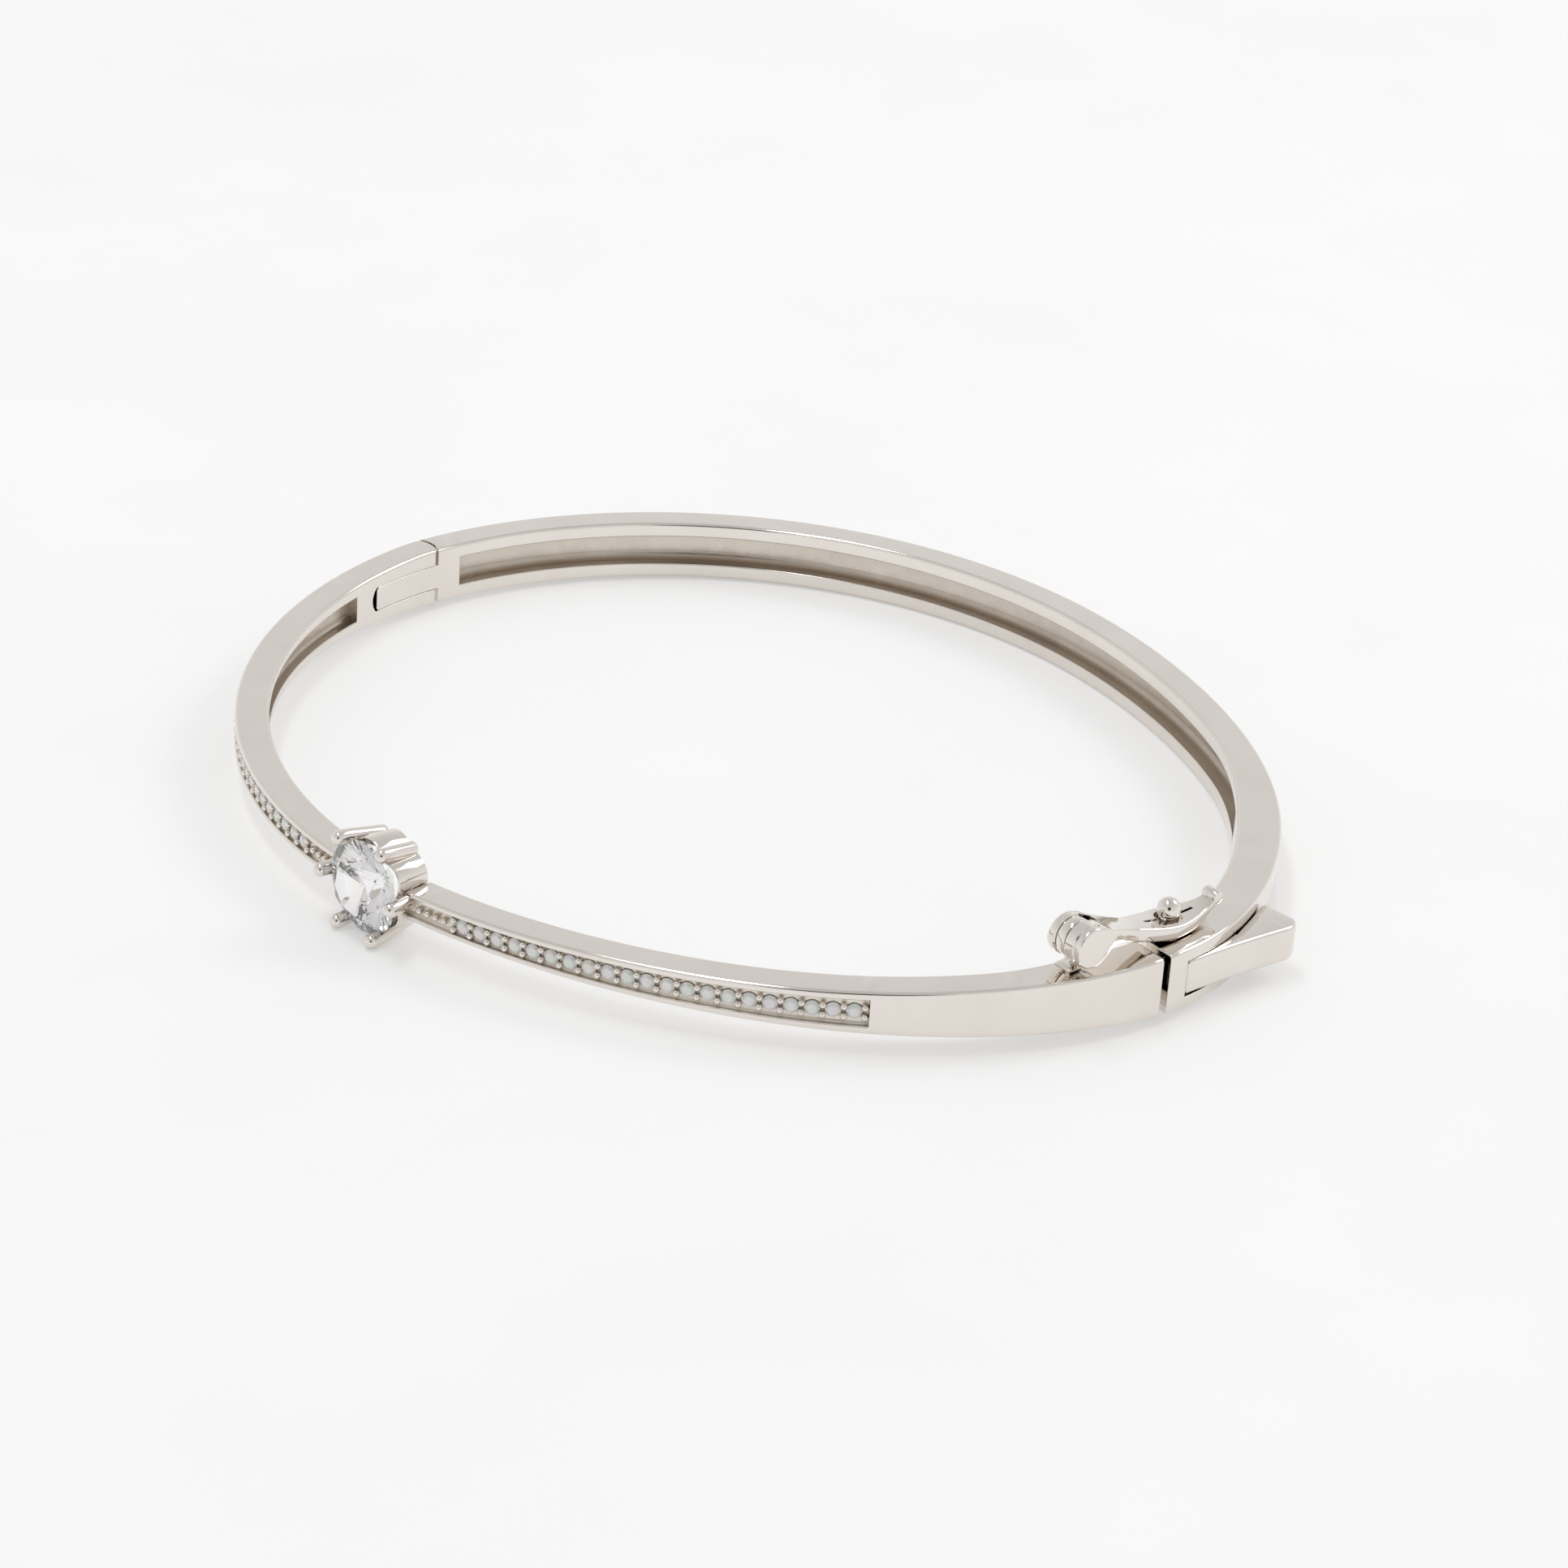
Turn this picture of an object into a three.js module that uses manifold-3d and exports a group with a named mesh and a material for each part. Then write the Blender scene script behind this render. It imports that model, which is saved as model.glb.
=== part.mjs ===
// Hinged oval bangle bracelet: two channel-backed half bands joined by a hinge and a lever clasp,
// a six-prong centre setting, two pave arms and a swing-over safety catch.
// Millimetres, +Z up. The bangle lies flat: -Y is the stone side, +X the clasp end, -X the hinge end.
import * as THREE from 'three';
import { mergeVertices } from 'three/addons/utils/BufferGeometryUtils.js';
import Module from 'manifold-3d';

const wasm = await Module();
wasm.setup();

// ---- driving dimensions -------------------------------------------------------------------

const HALF_LENGTH = 31.0; // outer half length of the oval, hinge end to clasp end
const HALF_WIDTH = 26.8; // outer half width of the oval, stone side to back
const WIDTH_LEAN = 0.25; // the stone side bows out and the back pulls in by this much
const OVAL_POWER = 1.94; // 2 is a true ellipse
const EGG = 0.043; // how much rounder the clasp end is than the hinge end
const CLASP_SWELL = 0.55; // extra outward bulge over the clasp
const CLASP_SWELL_POWER = 30;

const BAND_HEIGHT = 3.5;
const HEIGHT_AT_SETTING = 1.5; // the front half tapers down to this at the centre stone
const BAND_THICKNESS = 1.9;
const CLASP_EXTRA_THICKNESS = 0.5;
const SEGMENT_DEGREES = 4; // facet length along the band

const CLASP_ANGLE = -3.15; // where the halves part, in degrees round from the clasp end
const CLASP_GAP_DEGREES = 0.6;
const HOLLOW_SHARE = 0.52; // of the band's height; the rest is the rims beside the hollow
const HOLLOW_DEPTH = 1.1;
const PAVED_HOLLOW_DEPTH = 0.7;

const HINGE_X = -28.72;
const HINGE_Y = -0.5;
const HINGE_PIN_RADIUS = 0.42;
const HINGE_BARREL_RADIUS = 1.62; // the rounded end of the front half
const HINGE_SOCKET_RADIUS = 1.8; // the hollowed end of the back half that turns round it
const HINGE_TONGUE_HEIGHT = 1.5;
const HINGE_TAIL_END = -171.6; // degrees; the tongue runs on past the pin to here
const HINGE_TAIL_END_GAP = 0.9; // degrees
const HINGE_TAIL_THICKNESS = 1.15;
const HINGE_SWEEP_RADIUS = 1.1; // cleared round the pin for the turning tongue
const PIN_TOP = 1.4; // the upright pins stop short of the top face and are flush below
const PIN_BOTTOM = -BAND_HEIGHT / 2;
const RUNNING_GAP = 0.05;
const SLOT_GAP = 0.06;

const SETTING_Z = 0.25; // the setting's middle stands this far above the band's
const STONE_RADIUS = 2.55;
const STONE_CROWN = 0.76;
const STONE_PAVILION = 2.05;
const STONE_GIRDLE_Y = -27.5;
const PRONG_COUNT = 6;
const PRONG_RADIUS = 0.4;
const SETTING_BACK_Y = -25.15;
const PRONG_TIP_Y = -28.45;
const SHORT_PRONG = 1; // the upper prong towards the clasp is shorter than the rest
const SHORT_PRONG_BY = 0.6;
const PRONG_SPREAD_BACK = 2.3;
const PRONG_SPREAD_TIP = 2.95;
const SETTING_BACK_RADIUS = 2.5;
const SETTING_RIM_RADIUS = 2.62;
const SETTING_WALL_LENGTH = 2.2;
const SETTING_WALL_THICKNESS = 0.35;

const PAVE_COUNT = 21; // stones on each arm
const PAVE_PITCH = 1.07;
const PAVE_FIRST = 6.26; // distance of the first stone from the middle of the setting
const PAVE_CHANNEL_START = 2.0;
const PAVE_CHANNEL_END = 28.4;
const PAVE_CHANNEL_DEPTH = 0.3;
const PAVE_CHANNEL_SHARE = 0.62; // of the band's height
const PAVE_STONE_RADIUS = 0.42;
const PAVE_GIRDLE_DEPTH = 0.24;
const PAVE_SEAT_DEPTH = 0.8;
const BEAD_RADIUS = 0.16;
const BEAD_LENGTH = 0.3;
const BEAD_SPREAD = 0.27; // each bead of a pair from the channel's middle line
const STARTER_BEADS = [3.45, 4.0, 4.55, 5.1]; // single beads between the setting and the first pair

const CLASP_FACE_X = HALF_LENGTH * (1 + EGG) + CLASP_SWELL; // the band's outer face over the clasp
const BOX_INNER_X = CLASP_FACE_X - 1.88; // the clasp box's cavity, between its inner and outer walls
const BOX_OUTER_X = CLASP_FACE_X - 0.88;
const BOX_END_Y = 3.6;
const BOX_HALF_HEIGHT = 1.08;
const TONGUE_INNER_X = CLASP_FACE_X - 1.78;
const TONGUE_OUTER_X = CLASP_FACE_X - 1.23;
const TONGUE_ROOT_Y = -3.6;
const TONGUE_TIP_Y = 3.2;
const TONGUE_HALF_HEIGHT = 0.95;
const WINDOW_Y = 1.45; // the tongue's window, which the lever's hook drops into
const WINDOW_HALF_HEIGHT = 0.5;

const LEVER_PIN_X = CLASP_FACE_X - 0.45;
const LEVER_PIN_Y = 0.22;
const LEVER_PIN_RADIUS = 0.22;
const LEVER_HALF_HEIGHT = 1.0;
const LEVER_ROOT = 0.45; // from the lever's pin out to its root faces
const LEVER_POCKET_RADIUS = 0.68;
const LEVER_SLOT_END_Y = 3.95;
const LEVER_END_Y = 7.85;
const LEVER_END_X = CLASP_FACE_X + 0.87; // the finger flares out to here
const LEVER_BOW = [[0.12, 1.6], [0.45, 4.0]]; // the finger's outer face bends by these: out from the band, y
const LEVER_CORNER_LENGTH = 1.15; // the rounded outer corner of the finger's end
const LEVER_CORNER_WIDTH = 0.7;
const LEVER_SHADOW_GAP = 0.09; // between the finger and the band
const LEVER_END_GAP = 0.4; // where the gap opens at the finger's end
const LEVER_INNER_DEGREES = [14.2, 13.2, 12, 10, 8.6]; // points of the finger's inner face, end to root
const LEVER_GAP_OPENS = 12.4; // degrees
const LEVER_HEEL = 0.65; // slope from the slot's end down to the lever's back
const HOOK_REACH = 2.5; // the hook's bearing face turns about the lever's pin at this radius
const HOOK_TIP_X = CLASP_FACE_X - 1.58;
const HOOK_HALF_HEIGHT = 0.42;

const SAFETY_X = 30.25; // middle of the safety catch's barrel
const SAFETY_Y = -5.9;
const SAFETY_Z = 3.05;
const SAFETY_YAW = -5; // degrees, so that the loop follows the band
const SAFETY_END_RADIUS = 1.12; // the loop's round ends on the barrel
const SAFETY_HALF_WIDTH = 1.2;
const KNUCKLE_RADIUS = 0.98; // the bracket's part of the barrel, off centre between the loop's ends
const KNUCKLE_FROM = -0.66;
const KNUCKLE_TO = -0.02;
const KNUCKLE_ROOM = 1.25;
const SAFETY_PIN_RADIUS = 0.3;
const SAFETY_PIN_HALF = 0.93;
const SAFETY_FOOT_Z = 1.6; // just clear of the band's top face
const BALL_RADIUS = 0.64;
const BALL_REACH = 6.19; // along the loop from its pivot to the ball
const BALL_Z = 3.0;
const NECK_RADIUS = 0.32;
const EYE_CLEARANCE = 0.1;
const EYE_SLOT_HALF = 0.1;
const EYE_SLOT_FROM = 4.5;
const EYE_SLOT_TO = 7.9;
const TIP_RADIUS = 0.36;
const TIP_HALF_WIDTH = 0.48;
const TIP_REACH = 9.28;
const TIP_RISE = -0.12;

// The loop beyond its barrel, from the pivot: reach, top, underside and half width.
const LOOP_STATIONS = [
  [1.3, 0.68, -0.42, 1.14],
  [2.2, 0.34, -0.5, 0.95],
  [3.3, -0.02, -0.82, 0.82],
  [4.4, -0.26, -1.06, 0.95],
  [5.4, -0.44, -1.2, 1.1],
  [6.2, -0.5, -1.22, 1.14],
  [7.3, -0.5, -1.2, 0.95],
  [8.4, -0.38, -1.04, 0.62],
  [9.3, -0.05, -0.5, 0.42],
];

const TAU = Math.PI * 2;
const { degToRad, smoothstep, clamp, lerp } = THREE.MathUtils;

// ---- materials ----------------------------------------------------------------------------

function silver() {
  return new THREE.MeshStandardMaterial({ color: 0xd8d2cc, roughness: 0.16, metalness: 1 });
}

function crystal() {
  return new THREE.MeshStandardMaterial({ color: 0xf2f3f8, roughness: 0.02, metalness: 0 });
}

// ---- solids -------------------------------------------------------------------------------

function solidOf(geometry) {
  const bare = geometry.index ? geometry.clone() : mergeVertices(geometry);
  bare.deleteAttribute('normal');
  bare.deleteAttribute('uv');
  const merged = mergeVertices(bare, 1e-4);
  const kept = [];
  for (let i = 0; i < merged.index.count; i += 3) {
    const [a, b, c] = [0, 1, 2].map((k) => merged.index.getX(i + k));
    if (a !== b && b !== c && c !== a) kept.push(a, b, c);
  }
  const vertProperties = new Float32Array(merged.attributes.position.array);
  const triVerts = new Uint32Array(kept);
  return new wasm.Manifold(new wasm.Mesh({ numProp: 3, vertProperties, triVerts }));
}

function nodeOf(name, solid, material) {
  const mesh = solid.getMesh();
  const geometry = new THREE.BufferGeometry();
  geometry.setAttribute('position', new THREE.BufferAttribute(new Float32Array(mesh.vertProperties), 3));
  geometry.setIndex(new THREE.BufferAttribute(new Uint32Array(mesh.triVerts), 1));
  geometry.computeVertexNormals();
  const node = new THREE.Mesh(geometry, material);
  node.name = name;
  return node;
}

function box(x0, x1, y0, y1, z0, z1) {
  const geometry = new THREE.BoxGeometry(x1 - x0, y1 - y0, z1 - z0);
  return solidOf(geometry.translate((x0 + x1) / 2, (y0 + y1) / 2, (z0 + z1) / 2));
}

function uprightCylinder(radius, x, y, z0, z1, sides = 20) {
  const geometry = new THREE.CylinderGeometry(radius, radius, z1 - z0, sides);
  return solidOf(geometry.rotateX(Math.PI / 2).translate(x, y, (z0 + z1) / 2));
}

function crosswiseCylinder(radius, x0, x1, sides = 18) {
  const geometry = new THREE.CylinderGeometry(radius, radius, x1 - x0, sides);
  return solidOf(geometry.rotateZ(Math.PI / 2).translate((x0 + x1) / 2, 0, 0));
}

function slab(shape, z0, z1, curveSegments = 6) {
  const geometry = new THREE.ExtrudeGeometry(shape, { depth: z1 - z0, bevelEnabled: false, curveSegments });
  return solidOf(geometry.translate(0, 0, z0));
}

function turned(profile, sides) {
  const points = profile.map(([radius, height]) => new THREE.Vector2(radius, height));
  return new THREE.LatheGeometry(points, sides);
}

// ---- the oval band ------------------------------------------------------------------------

function outlineRadius(angle) {
  const c = Math.cos(angle);
  const s = Math.sin(angle);
  const halfWidth = HALF_WIDTH - WIDTH_LEAN * s;
  const sum = Math.abs(c / HALF_LENGTH) ** OVAL_POWER + Math.abs(s / halfWidth) ** OVAL_POWER;
  const egg = 1 + EGG * Math.cos(2 * angle) * c;
  const swell = CLASP_SWELL * Math.max(0, c) ** CLASP_SWELL_POWER;
  return sum ** (-1 / OVAL_POWER) * egg + swell;
}

// The outer outline, run anticlockwise once round from the setting.
class Outline extends THREE.Curve {
  getPoint(t, target = new THREE.Vector3()) {
    const angle = (t - 0.25) * TAU;
    const radius = outlineRadius(angle);
    return target.set(radius * Math.cos(angle), radius * Math.sin(angle), 0);
  }
}

const outline = new Outline();
outline.arcLengthDivisions = 1440;
const outlineLength = outline.getLength();

function bandPoint(degrees, inset, z) {
  const t = degrees / 360 + 0.25;
  const step = 1e-4;
  const along = outline.getPoint(t + step).sub(outline.getPoint(t - step)).normalize();
  const point = outline.getPoint(t);
  return new THREE.Vector3(point.x - along.y * inset, point.y + along.x * inset, z);
}

function outwardAngle(degrees) {
  const foot = bandPoint(degrees, 1, 0);
  const edge = bandPoint(degrees, 0, 0);
  return Math.atan2(edge.y - foot.y, edge.x - foot.x);
}

// Degrees round the oval at a distance along the outline from the setting, negative to the hinge.
function angleAtDistance(distance) {
  const turn = distance < 0 ? 1 : 0;
  const t = outline.getUtoTmapping(distance / outlineLength + turn);
  return (t - turn) * 360 - 90;
}

function bandHeight(degrees) {
  const away = clamp(Math.abs(degrees + 90) / 90, 0, 1);
  const taper = BAND_HEIGHT - HEIGHT_AT_SETTING;
  return HEIGHT_AT_SETTING + (taper * (away + away ** 3)) / 2;
}

function bandThickness(degrees) {
  const boxed = smoothstep(degrees, -20, -8) * (1 - smoothstep(degrees, 27, 48));
  return BAND_THICKNESS + CLASP_EXTRA_THICKNESS * boxed;
}

// A bar bent along the oval from one angle to another. Insets and heights are functions of angle.
function bentBar(fromDegrees, toDegrees, outerInset, innerInset, halfHeight) {
  const steps = Math.ceil(Math.abs(toDegrees - fromDegrees) / SEGMENT_DEGREES);
  const geometry = new THREE.BoxGeometry(1, 1, 1, steps, 1, 1);
  const position = geometry.attributes.position;
  for (let i = 0; i < position.count; i += 1) {
    const degrees = lerp(fromDegrees, toDegrees, position.getX(i) + 0.5);
    const inset = lerp(outerInset(degrees), innerInset(degrees), position.getY(i) + 0.5);
    const z = 2 * position.getZ(i) * halfHeight(degrees);
    const point = bandPoint(degrees, inset, z);
    position.setXYZ(i, point.x, point.y, point.z);
  }
  return solidOf(geometry);
}

function plainBand(fromDegrees, toDegrees) {
  return bentBar(fromDegrees, toDegrees, () => 0, bandThickness, (angle) => bandHeight(angle) / 2);
}

// The hollow that opens on the inner face.
function hollow(fromDegrees, toDegrees, depth) {
  return bentBar(
    fromDegrees,
    toDegrees,
    (angle) => bandThickness(angle) - depth,
    (angle) => bandThickness(angle) + 1,
    (angle) => (bandHeight(angle) / 2) * HOLLOW_SHARE,
  );
}

// ---- centre setting -----------------------------------------------------------------------

// Turns a shape built upwards from the back of the setting so that it faces -Y.
function facingForward(geometry) {
  return geometry.rotateX(Math.PI).translate(0, SETTING_BACK_Y, SETTING_Z);
}

function prong(index, extra) {
  const fullLength = SETTING_BACK_Y - PRONG_TIP_Y;
  const length = index === SHORT_PRONG ? fullLength - SHORT_PRONG_BY : fullLength;
  const radius = PRONG_RADIUS + extra;
  const geometry = turned(
    [
      [0, -extra],
      [radius, -extra],
      [radius, length - radius],
      [radius * 0.7, length - radius * 0.3],
      [0, length],
    ],
    8,
  );
  const lean = Math.atan2(PRONG_SPREAD_TIP - PRONG_SPREAD_BACK, fullLength);
  geometry.rotateZ(-lean).translate(PRONG_SPREAD_BACK, 0, 0);
  geometry.rotateY((index * TAU) / PRONG_COUNT);
  return solidOf(facingForward(geometry));
}

// The setting's outside, filled in and grown by a clearance.
function settingEnvelope(extra) {
  const wall = turned(
    [
      [0, -extra],
      [SETTING_BACK_RADIUS + extra, -extra],
      [SETTING_RIM_RADIUS + extra, SETTING_WALL_LENGTH + extra],
      [0, SETTING_WALL_LENGTH + extra],
    ],
    24,
  );
  let envelope = solidOf(facingForward(wall));
  for (let i = 0; i < PRONG_COUNT; i += 1) envelope = envelope.add(prong(i, extra));
  return envelope;
}

// A cut stone about +Y, with its girdle at the origin.
function brilliant(radius, crown, pavilion, girdle, sides) {
  return turned(
    [
      [0, -pavilion],
      [radius, -girdle],
      [radius, girdle],
      [radius * 0.58, crown],
      [0, crown],
    ],
    sides,
  );
}

function centreStone(grow) {
  const geometry = brilliant(STONE_RADIUS + grow, STONE_CROWN + grow, STONE_PAVILION + grow, 0.07 + grow, 16);
  return solidOf(geometry.rotateX(Math.PI).translate(0, STONE_GIRDLE_Y, SETTING_Z));
}

function stoneSetting() {
  const backOpening = SETTING_BACK_RADIUS - SETTING_WALL_THICKNESS;
  const rimOpening = SETTING_RIM_RADIUS - SETTING_WALL_THICKNESS;
  const opening = turned(
    [
      [0, -1],
      [backOpening, -1],
      [backOpening, 0],
      [rimOpening, SETTING_WALL_LENGTH],
      [rimOpening, SETTING_WALL_LENGTH + 1],
      [0, SETTING_WALL_LENGTH + 1],
    ],
    24,
  );
  const open = settingEnvelope(0).subtract(solidOf(facingForward(opening)));
  return open.subtract(centreStone(0.03));
}

// ---- pave arms ----------------------------------------------------------------------------

// Sets a shape built about +Y into the band's outer face, sunk by a depth.
function onOuterFace(geometry, degrees, depth, z) {
  const point = bandPoint(degrees, depth, z);
  geometry.rotateZ(outwardAngle(degrees) - Math.PI / 2);
  return solidOf(geometry.translate(point.x, point.y, point.z));
}

function paveAngle(place, side) {
  return angleAtDistance(side * (PAVE_FIRST + place * PAVE_PITCH));
}

function paveChannel(side) {
  const ends = [PAVE_CHANNEL_START, PAVE_CHANNEL_END].map((distance) => angleAtDistance(side * distance));
  return bentBar(
    Math.min(...ends),
    Math.max(...ends),
    () => -1,
    () => PAVE_CHANNEL_DEPTH,
    (angle) => (bandHeight(angle) / 2) * PAVE_CHANNEL_SHARE,
  );
}

function paveSeat(place, side) {
  const radius = PAVE_STONE_RADIUS + 0.03;
  const geometry = new THREE.CylinderGeometry(radius, radius, PAVE_SEAT_DEPTH, 8);
  return onOuterFace(geometry, paveAngle(place, side), PAVE_SEAT_DEPTH / 2, 0);
}

// A tapered stud standing on the channel's floor.
function bead(angle, z) {
  const geometry = new THREE.CylinderGeometry(BEAD_RADIUS * 0.6, BEAD_RADIUS, BEAD_LENGTH, 6);
  return onOuterFace(geometry, angle, BEAD_LENGTH / 2 + 0.03, z);
}

function paved(arm, side) {
  let result = arm.subtract(paveChannel(side));
  for (let i = 0; i < PAVE_COUNT; i += 1) result = result.subtract(paveSeat(i, side));
  for (let i = 0; i <= PAVE_COUNT; i += 1) {
    const between = paveAngle(i - 0.5, side);
    result = result.add(bead(between, -BEAD_SPREAD)).add(bead(between, BEAD_SPREAD));
  }
  for (const distance of STARTER_BEADS) result = result.add(bead(angleAtDistance(side * distance), 0));
  return result.subtract(settingEnvelope(RUNNING_GAP));
}

function paveStone(place, side) {
  const geometry = brilliant(PAVE_STONE_RADIUS, 0.16, 0.38, 0.03, 6);
  return onOuterFace(geometry, paveAngle(place, side), PAVE_GIRDLE_DEPTH, 0);
}

// ---- front half ---------------------------------------------------------------------------

function rightArm() {
  const band = plainBand(-86, CLASP_ANGLE - CLASP_GAP_DEGREES / 2);
  const gap = RUNNING_GAP;
  const socket = box(
    TONGUE_INNER_X - gap,
    TONGUE_OUTER_X + gap,
    TONGUE_ROOT_Y - gap,
    0,
    -TONGUE_HALF_HEIGHT - gap,
    TONGUE_HALF_HEIGHT + gap,
  );
  const hollowed = band
    .subtract(socket)
    .subtract(hollow(-82, -18, PAVED_HOLLOW_DEPTH));
  return paved(hollowed, 1);
}

function hingePinHole(radius) {
  return uprightCylinder(radius, HINGE_X, HINGE_Y, -BAND_HEIGHT, PIN_TOP + RUNNING_GAP);
}

function leftArm() {
  const slotHalf = HINGE_TONGUE_HEIGHT / 2 + SLOT_GAP;
  const pastPin = box(HINGE_X - 3, HINGE_X + 3, HINGE_Y, HINGE_Y + 4, -3, 3);
  const barrel = uprightCylinder(HINGE_BARREL_RADIUS, HINGE_X, HINGE_Y, -4, 4, 40);
  const tailSlot = bentBar(
    -188,
    HINGE_TAIL_END + HINGE_TAIL_END_GAP,
    () => BAND_THICKNESS - HINGE_TAIL_THICKNESS - SLOT_GAP,
    () => BAND_THICKNESS + 1,
    () => slotHalf,
  );
  const knuckleSlot = box(HINGE_X - 2, HINGE_X + 2, HINGE_Y, HINGE_Y + 4, -slotHalf, slotHalf);
  const sweep = uprightCylinder(HINGE_SWEEP_RADIUS, HINGE_X, HINGE_Y, -slotHalf, slotHalf);
  const hinged = plainBand(-186, -94)
    .subtract(pastPin.subtract(barrel))
    .subtract(tailSlot)
    .subtract(knuckleSlot)
    .subtract(sweep)
    .subtract(hingePinHole(HINGE_PIN_RADIUS + 0.02))
    .subtract(hollow(-167.6, -98, PAVED_HOLLOW_DEPTH));
  return paved(hinged, -1);
}

function claspTongue() {
  const blade = box(
    TONGUE_INNER_X,
    TONGUE_OUTER_X,
    TONGUE_ROOT_Y,
    TONGUE_TIP_Y,
    -TONGUE_HALF_HEIGHT,
    TONGUE_HALF_HEIGHT,
  );
  const bearing = Math.sqrt(HOOK_REACH ** 2 - (LEVER_PIN_X - TONGUE_OUTER_X) ** 2);
  const windowEnd = LEVER_PIN_Y + bearing + SLOT_GAP;
  const half = WINDOW_HALF_HEIGHT;
  return blade.subtract(box(TONGUE_INNER_X - 1, TONGUE_OUTER_X + 1, WINDOW_Y, windowEnd, -half, half));
}

// ---- back half ----------------------------------------------------------------------------

function hingeTongue() {
  const half = HINGE_TONGUE_HEIGHT / 2;
  const tail = bentBar(
    -184.5,
    HINGE_TAIL_END,
    () => BAND_THICKNESS - HINGE_TAIL_THICKNESS,
    () => BAND_THICKNESS,
    () => half,
  );
  const knuckle = uprightCylinder(BAND_THICKNESS / 2 - 0.02, HINGE_X, HINGE_Y, -half, half);
  const neckHalf = BAND_THICKNESS / 2 - 0.02;
  const neck = box(HINGE_X - neckHalf, HINGE_X + neckHalf, HINGE_Y, HINGE_Y + 2.4, -half, half);
  return tail.add(knuckle).add(neck);
}

function claspBox(band) {
  const slotHalf = LEVER_HALF_HEIGHT + SLOT_GAP;
  const cavity = box(BOX_INNER_X, BOX_OUTER_X, -4, BOX_END_Y, -BOX_HALF_HEIGHT, BOX_HALF_HEIGHT);
  const slot = box(BOX_OUTER_X - SLOT_GAP, 36, LEVER_PIN_Y, LEVER_SLOT_END_Y, -slotHalf, slotHalf);
  const pocket = uprightCylinder(LEVER_POCKET_RADIUS, LEVER_PIN_X, LEVER_PIN_Y, -slotHalf, slotHalf);
  const pinHole = uprightCylinder(LEVER_PIN_RADIUS + 0.03, LEVER_PIN_X, LEVER_PIN_Y, -3, PIN_TOP + 0.05, 12);
  return band.subtract(cavity).subtract(slot).subtract(pocket).subtract(pinHole);
}

function backBand() {
  const band = plainBand(CLASP_ANGLE + CLASP_GAP_DEGREES / 2, 184);
  const belowPin = box(HINGE_X - 3, HINGE_X + 3, HINGE_Y - 6, HINGE_Y, -3, 3);
  const socket = uprightCylinder(HINGE_SOCKET_RADIUS, HINGE_X, HINGE_Y, -3, 3, 40);
  const hinged = band
    .subtract(belowPin)
    .subtract(socket)
    .add(hingeTongue())
    .subtract(hingePinHole(HINGE_PIN_RADIUS + RUNNING_GAP))
    .subtract(hollow(33, 174.5, HOLLOW_DEPTH));
  return claspBox(hinged);
}

function pin(radius, x, y, sides) {
  return uprightCylinder(radius, x, y, PIN_BOTTOM, PIN_TOP, sides);
}

// Plan of the lever: root block round its pin, then a finger that flares away from the band.
function leverPlan() {
  const plan = new THREE.Shape();
  plan.moveTo(LEVER_PIN_X - LEVER_ROOT + 0.02, LEVER_PIN_Y - LEVER_ROOT);
  plan.lineTo(CLASP_FACE_X, LEVER_PIN_Y - LEVER_ROOT);
  const [[bow0, bowY0], [bow1, bowY1]] = LEVER_BOW;
  const cornerY = LEVER_END_Y - LEVER_CORNER_LENGTH;
  plan.bezierCurveTo(CLASP_FACE_X + bow0, bowY0, CLASP_FACE_X + bow1, bowY1, LEVER_END_X, cornerY);
  plan.quadraticCurveTo(LEVER_END_X + 0.12, LEVER_END_Y, LEVER_END_X - LEVER_CORNER_WIDTH, LEVER_END_Y);
  for (const degrees of LEVER_INNER_DEGREES) {
    const opening = smoothstep(degrees, LEVER_GAP_OPENS, LEVER_INNER_DEGREES[0]);
    const gap = lerp(LEVER_SHADOW_GAP, LEVER_END_GAP, opening);
    const point = bandPoint(degrees, -gap, 0);
    plan.lineTo(point.x, point.y);
  }
  plan.lineTo(CLASP_FACE_X - 0.42, LEVER_SLOT_END_Y);
  plan.lineTo(BOX_OUTER_X + 0.02, LEVER_SLOT_END_Y - LEVER_HEEL);
  plan.closePath();
  return plan;
}

function leverHook() {
  const plan = new THREE.Shape();
  const startY = WINDOW_Y + 0.1;
  const back = BOX_OUTER_X + 0.2;
  const angleAtX = (x) => Math.acos((x - LEVER_PIN_X) / HOOK_REACH);
  plan.moveTo(back, startY);
  plan.absarc(LEVER_PIN_X, LEVER_PIN_Y, HOOK_REACH, angleAtX(back), angleAtX(HOOK_TIP_X), false);
  plan.lineTo(HOOK_TIP_X, startY);
  plan.closePath();
  return slab(plan, -HOOK_HALF_HEIGHT, HOOK_HALF_HEIGHT);
}

function thumbLever() {
  const finger = slab(leverPlan(), -LEVER_HALF_HEIGHT, LEVER_HALF_HEIGHT, 8);
  const bore = uprightCylinder(LEVER_PIN_RADIUS + 0.04, LEVER_PIN_X, LEVER_PIN_Y, -3, 3, 12);
  return finger.add(leverHook()).subtract(bore);
}

function leverSpring() {
  return box(BOX_OUTER_X - 0.16, BOX_OUTER_X - RUNNING_GAP, -1.5, 0.05, -0.6, 0.6);
}

// ---- safety catch -------------------------------------------------------------------------

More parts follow.
